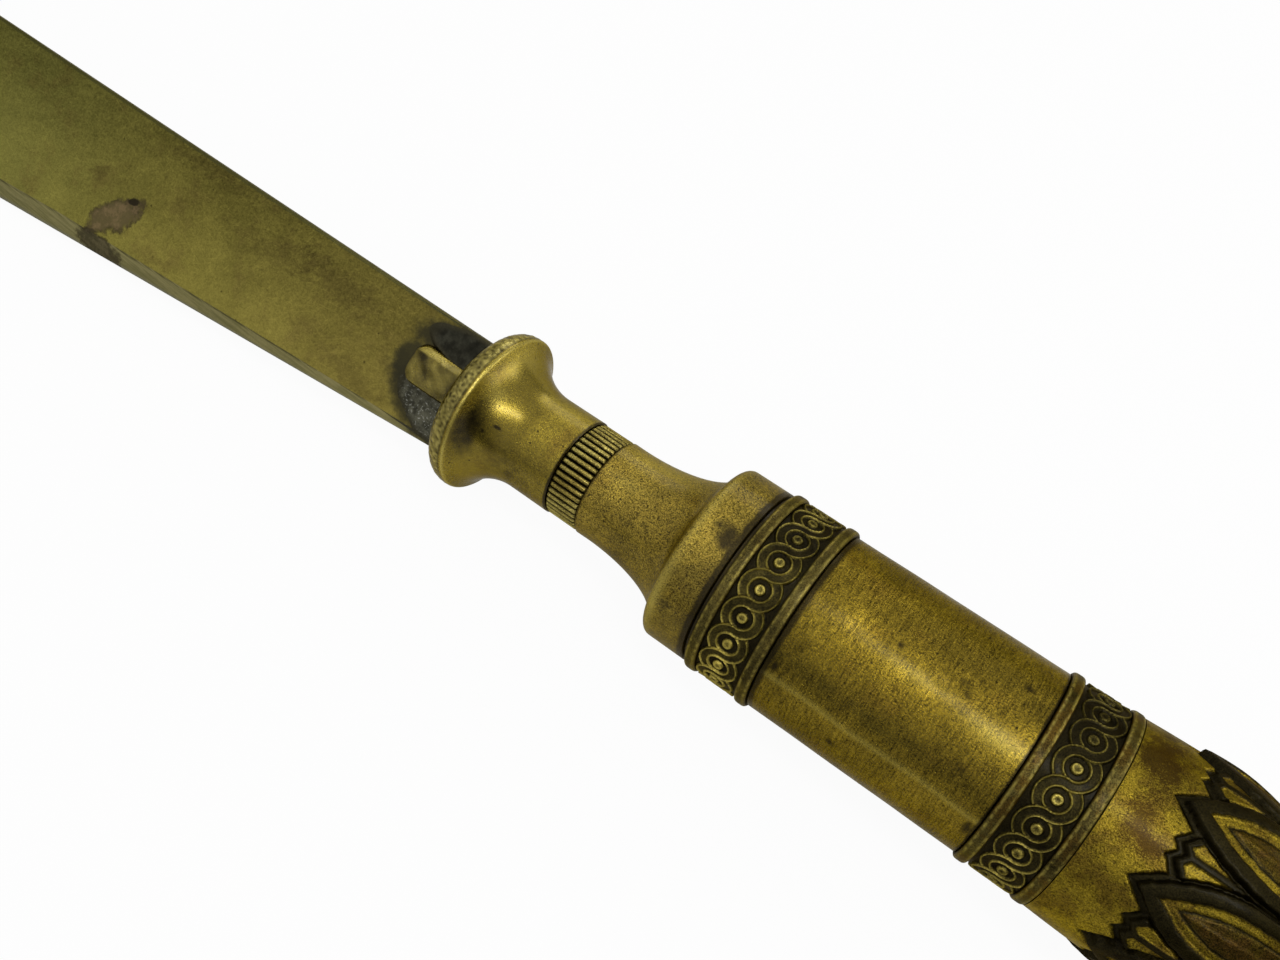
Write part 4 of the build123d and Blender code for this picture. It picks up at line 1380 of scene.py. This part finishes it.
def large_leaf(inset, side):
    """Height, brightness of wear and rust of the large leaf's border, field, vein, lancet and midrib."""
    crown = np.sqrt(np.clip(1 - ((inset - 0.65) / 0.85) ** 2, 0, 1))
    border = smooth(0.0, 0.12, inset) * smooth(1.5, 1.25, inset)
    inner = smooth(1.25, 1.5, inset)
    vein = bell(inset - 2.35, 0.15)
    lancet = smooth(2.35, 2.7, inset)
    midrib = bell(side, 0.2) * lancet
    height = 0.42 + 0.18 * crown * border - 0.22 * inner - 0.12 * vein + 0.06 * lancet + 0.1 * midrib
    gold = 0.05 * border + 0.66 * inner * (1 - 0.9 * vein) - 0.30 * lancet + 0.10 * midrib
    return height, gold, lancet


class OPENER_OT_end_fittings(bpy.types.Operator):
    """Turn the washer and the end button, and finish the hidden rod"""

    bl_idname = "opener.end_fittings"
    bl_label = "End fittings"

    def execute(self, context):
        finish = context.scene.opener_finish
        material = turned_finish("button_brass", finish.barrel_brass, grain=0.6, marks=0.3, spots=0.3)
        square = ring_section(WASHER_START, WASHER_START + 0.9, ROD_BORE_R, 5.3)
        washer = turned("end_washer", soften(square, 0.3), material, 128)
        take_place(washer, "end_washer")
        button = turned("end_button", button_profile(), material, 128)
        take_place(button, "end_button")
        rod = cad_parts["tie_rod"]
        rod.data.materials.clear()
        metal = turned_finish("rod_metal", finish.rod_steel, grain=0.4, marks=0.6, spots=0.2)
        rod.data.materials.append(metal)
        return {"FINISHED"}


def button_profile():
    """Neck, round bead and crown of the end button, with the hole for the rod."""
    neck_r, bead_r, crown_r, run = 3.2, 1.2, 3.4, 2.1
    hole_end, hole_r, tip_r = 101.05, 2.55, 0.02
    quarter = 1.5708
    around = np.linspace(0, quarter, 12)
    bead = [(CROWN_START - run * math.cos(a), neck_r + bead_r * math.sin(a)) for a in around]
    over = np.linspace(0.1, quarter, 14)
    crown = [(CROWN_START + run * math.sin(a), 1.0 + crown_r * math.cos(a)) for a in over]
    hole = [(HANDLE_END, tip_r), (hole_end, tip_r), (hole_end, hole_r), (BUTTON_START, hole_r)]
    return np.array([(BUTTON_START, neck_r), (98.2, 3.15)] + bead + crown + hole)


# Stage


class OPENER_OT_stage(bpy.types.Operator):
    """Set the white floor, the soft lamps and the camera"""

    bl_idname = "opener.stage"
    bl_label = "Stage"

    def execute(self, context):
        scene = context.scene
        scene.view_settings.view_transform = "Standard"
        add_floor()
        add_world(scene)
        for name, place, aim, along, size, power in (
            ("overhead", (0.225, -0.03, 0.51), (0.10, 0.0, 0.01), (1.0, -0.2, 0.0), (0.46, 0.09), 1.28),
            ("back", (-0.22, 0.62, 0.22), (0.05, 0.0, 0.01), (1.0, 0.0, 0.0), (0.36, 0.30), 0.72),
            ("side", (0.445, 0.259, 0.116), (0.03, 0.0, 0.012), (-0.5, 0.86, 0.0), (0.30, 0.20), 0.55),
        ):
            add_softbox(f"{name}_softbox", place, aim, along, size, power)
        add_camera(scene)
        return {"FINISHED"}


def add_floor():
    """White floor that stays white to the eye and keeps a soft shadow."""
    reach, low = 2.5, CAD_BOX[0][2] - 0.0001
    corners = [(x * reach, y * reach, low) for x, y in ((-1, -1), (1, -1), (1, 1), (-1, 1))]
    mesh = bpy.data.meshes.new("floor")
    mesh.from_pydata(corners, [], [(0, 1, 2, 3)])
    s = Shade("white_floor")
    put(s.tree, s.shader.inputs["Base Color"], (0.62, 0.62, 0.62, 1.0))
    put(s.tree, s.shader.inputs["Roughness"], 0.9)
    path = s.add("ShaderNodeLightPath").outputs
    mirrored = s.compute("MAXIMUM", path["Is Glossy Ray"], path["Is Transmission Ray"])
    seen = s.compute("MAXIMUM", path["Is Camera Ray"], s.times(mirrored, 0.3))
    glow = s.add("ShaderNodeEmission", {"Color": (1, 1, 1, 1), "Strength": 1.0}).outputs[0]
    mixed = s.add("ShaderNodeMixShader", {0: s.times(seen, 0.95), 1: s.shader.outputs[0], 2: glow})
    put(s.tree, s.tree.nodes["Material Output"].inputs["Surface"], mixed.outputs[0])
    mesh.materials.append(s.material)
    floor = bpy.data.objects.new("floor", mesh)
    bpy.context.scene.collection.objects.link(floor)


def grey(level):
    """Grey of a brightness."""
    return (level, level, level, 1.0)


def add_world(scene):
    """Pale room, brighter overhead and dim low down past the pommel, white to the eye."""
    world = bpy.data.worlds.new("studio")
    world.use_nodes = True
    scene.world = world
    tree = world.node_tree
    way = add_node(tree, "ShaderNodeTexCoord").outputs["Generated"]
    height = add_node(tree, "ShaderNodeSeparateXYZ", {0: way}).outputs["Z"]
    rise = add_node(tree, "ShaderNodeValToRGB", {"Fac": height})
    elements = rise.color_ramp.elements
    for place, level in ((0.35, 0.62), (0.8, 0.85)):
        elements.new(place).color = grey(level)
    elements[0].color = grey(0.24)
    elements[-1].color = grey(0.9)
    past = add_node(tree, "ShaderNodeVectorMath", {0: way, 1: (0.82, -0.57, 0.0)}, operation="DOT_PRODUCT")
    fall = {"Value": past.outputs["Value"], "From Min": 0.55, "From Max": 0.9, "To Min": 1.0, "To Max": 0.25}
    room = tree.nodes["Background"]
    put(tree, room.inputs["Color"], rise.outputs["Color"])
    put(tree, room.inputs["Strength"], add_node(tree, "ShaderNodeMapRange", fall).outputs["Result"])
    white = add_node(tree, "ShaderNodeBackground", {"Color": grey(0.96)})
    seen = add_node(tree, "ShaderNodeLightPath").outputs["Is Camera Ray"]
    mixed = add_node(tree, "ShaderNodeMixShader", {0: seen, 1: room.outputs[0], 2: white.outputs[0]})
    put(tree, tree.nodes["World Output"].inputs["Surface"], mixed.outputs[0])


def add_softbox(name, place, aim, along, size, power):
    """Rectangular soft lamp aimed at a point, with its long side laid along a direction."""
    lamp = bpy.data.lights.new(name, "AREA")
    lamp.shape = "RECTANGLE"
    lamp.size, lamp.size_y = size
    lamp.energy = power
    holder = bpy.data.objects.new(name, lamp)
    away = (Vector(place) - Vector(aim)).normalized()
    side = Vector(along)
    side = (side - side.dot(away) * away).normalized()
    basis = Matrix((side, away.cross(side), away)).transposed().to_4x4()
    holder.matrix_world = Matrix.Translation(place) @ basis
    bpy.context.scene.collection.objects.link(holder)


def add_camera(scene):
    """Camera at the photograph's angle and distance."""
    lens = bpy.data.cameras.new("photo_camera")
    lens.sensor_width = 36.0
    lens.lens = 33.36
    lens.clip_start, lens.clip_end = 0.005, 20.0
    camera = bpy.data.objects.new("photo_camera", lens)
    axes = np.stack((ALONG, SPINE, FACE))
    right_way = (0.7962605, 0.5239152, -0.3024600)
    view_way = (-0.2886102, -0.1104154, -0.9510587)
    eye = (56.9212, 16.5155, 118.9958)
    right = Vector(np.array(right_way) @ axes)
    view = Vector(np.array(view_way) @ axes)
    basis = Matrix((right, right.cross(view), -view)).transposed().to_4x4()
    camera.matrix_world = Matrix.Translation(on_handle(*eye)) @ basis
    scene.collection.objects.link(camera)
    scene.camera = camera


# Panel and registration


class VIEW3D_PT_opener(bpy.types.Panel):
    """Sizes, colours and pieces of the letter opener"""

    bl_label = "Letter opener"
    bl_space_type = "VIEW_3D"
    bl_region_type = "UI"
    bl_category = "Opener"

    def draw(self, context):
        layout = self.layout
        for group in (context.scene.opener_sizes, context.scene.opener_finish):
            column = layout.column()
            for key in group.bl_rna.properties.keys():
                if key not in {"rna_type", "name"}:
                    column.prop(group, key)
        for operator in OPERATORS:
            layout.operator(operator.bl_idname)


OPERATORS = (
    OPENER_OT_blade,
    OPENER_OT_bolster,
    OPENER_OT_solder,
    OPENER_OT_reeded_collar,
    OPENER_OT_shoulder_ferrule,
    OPENER_OT_band_fillets,
    OPENER_OT_guilloche_bands,
    OPENER_OT_barrel,
    OPENER_OT_leaf_pommel,
    OPENER_OT_end_fittings,
    OPENER_OT_stage,
)
CLASSES = (OpenerSizes, OpenerFinish, *OPERATORS, VIEW3D_PT_opener)


def register():
    for cls in CLASSES:
        bpy.utils.register_class(cls)
    bpy.types.Scene.opener_sizes = PointerProperty(type=OpenerSizes)
    bpy.types.Scene.opener_finish = PointerProperty(type=OpenerFinish)


def unregister():
    del bpy.types.Scene.opener_finish
    del bpy.types.Scene.opener_sizes
    for cls in reversed(CLASSES):
        bpy.utils.unregister_class(cls)


def main():
    register()
    for operator in OPERATORS:
        group, action = operator.bl_idname.split(".")
        getattr(getattr(bpy.ops, group), action)()


if __name__ == "__main__":
    main()
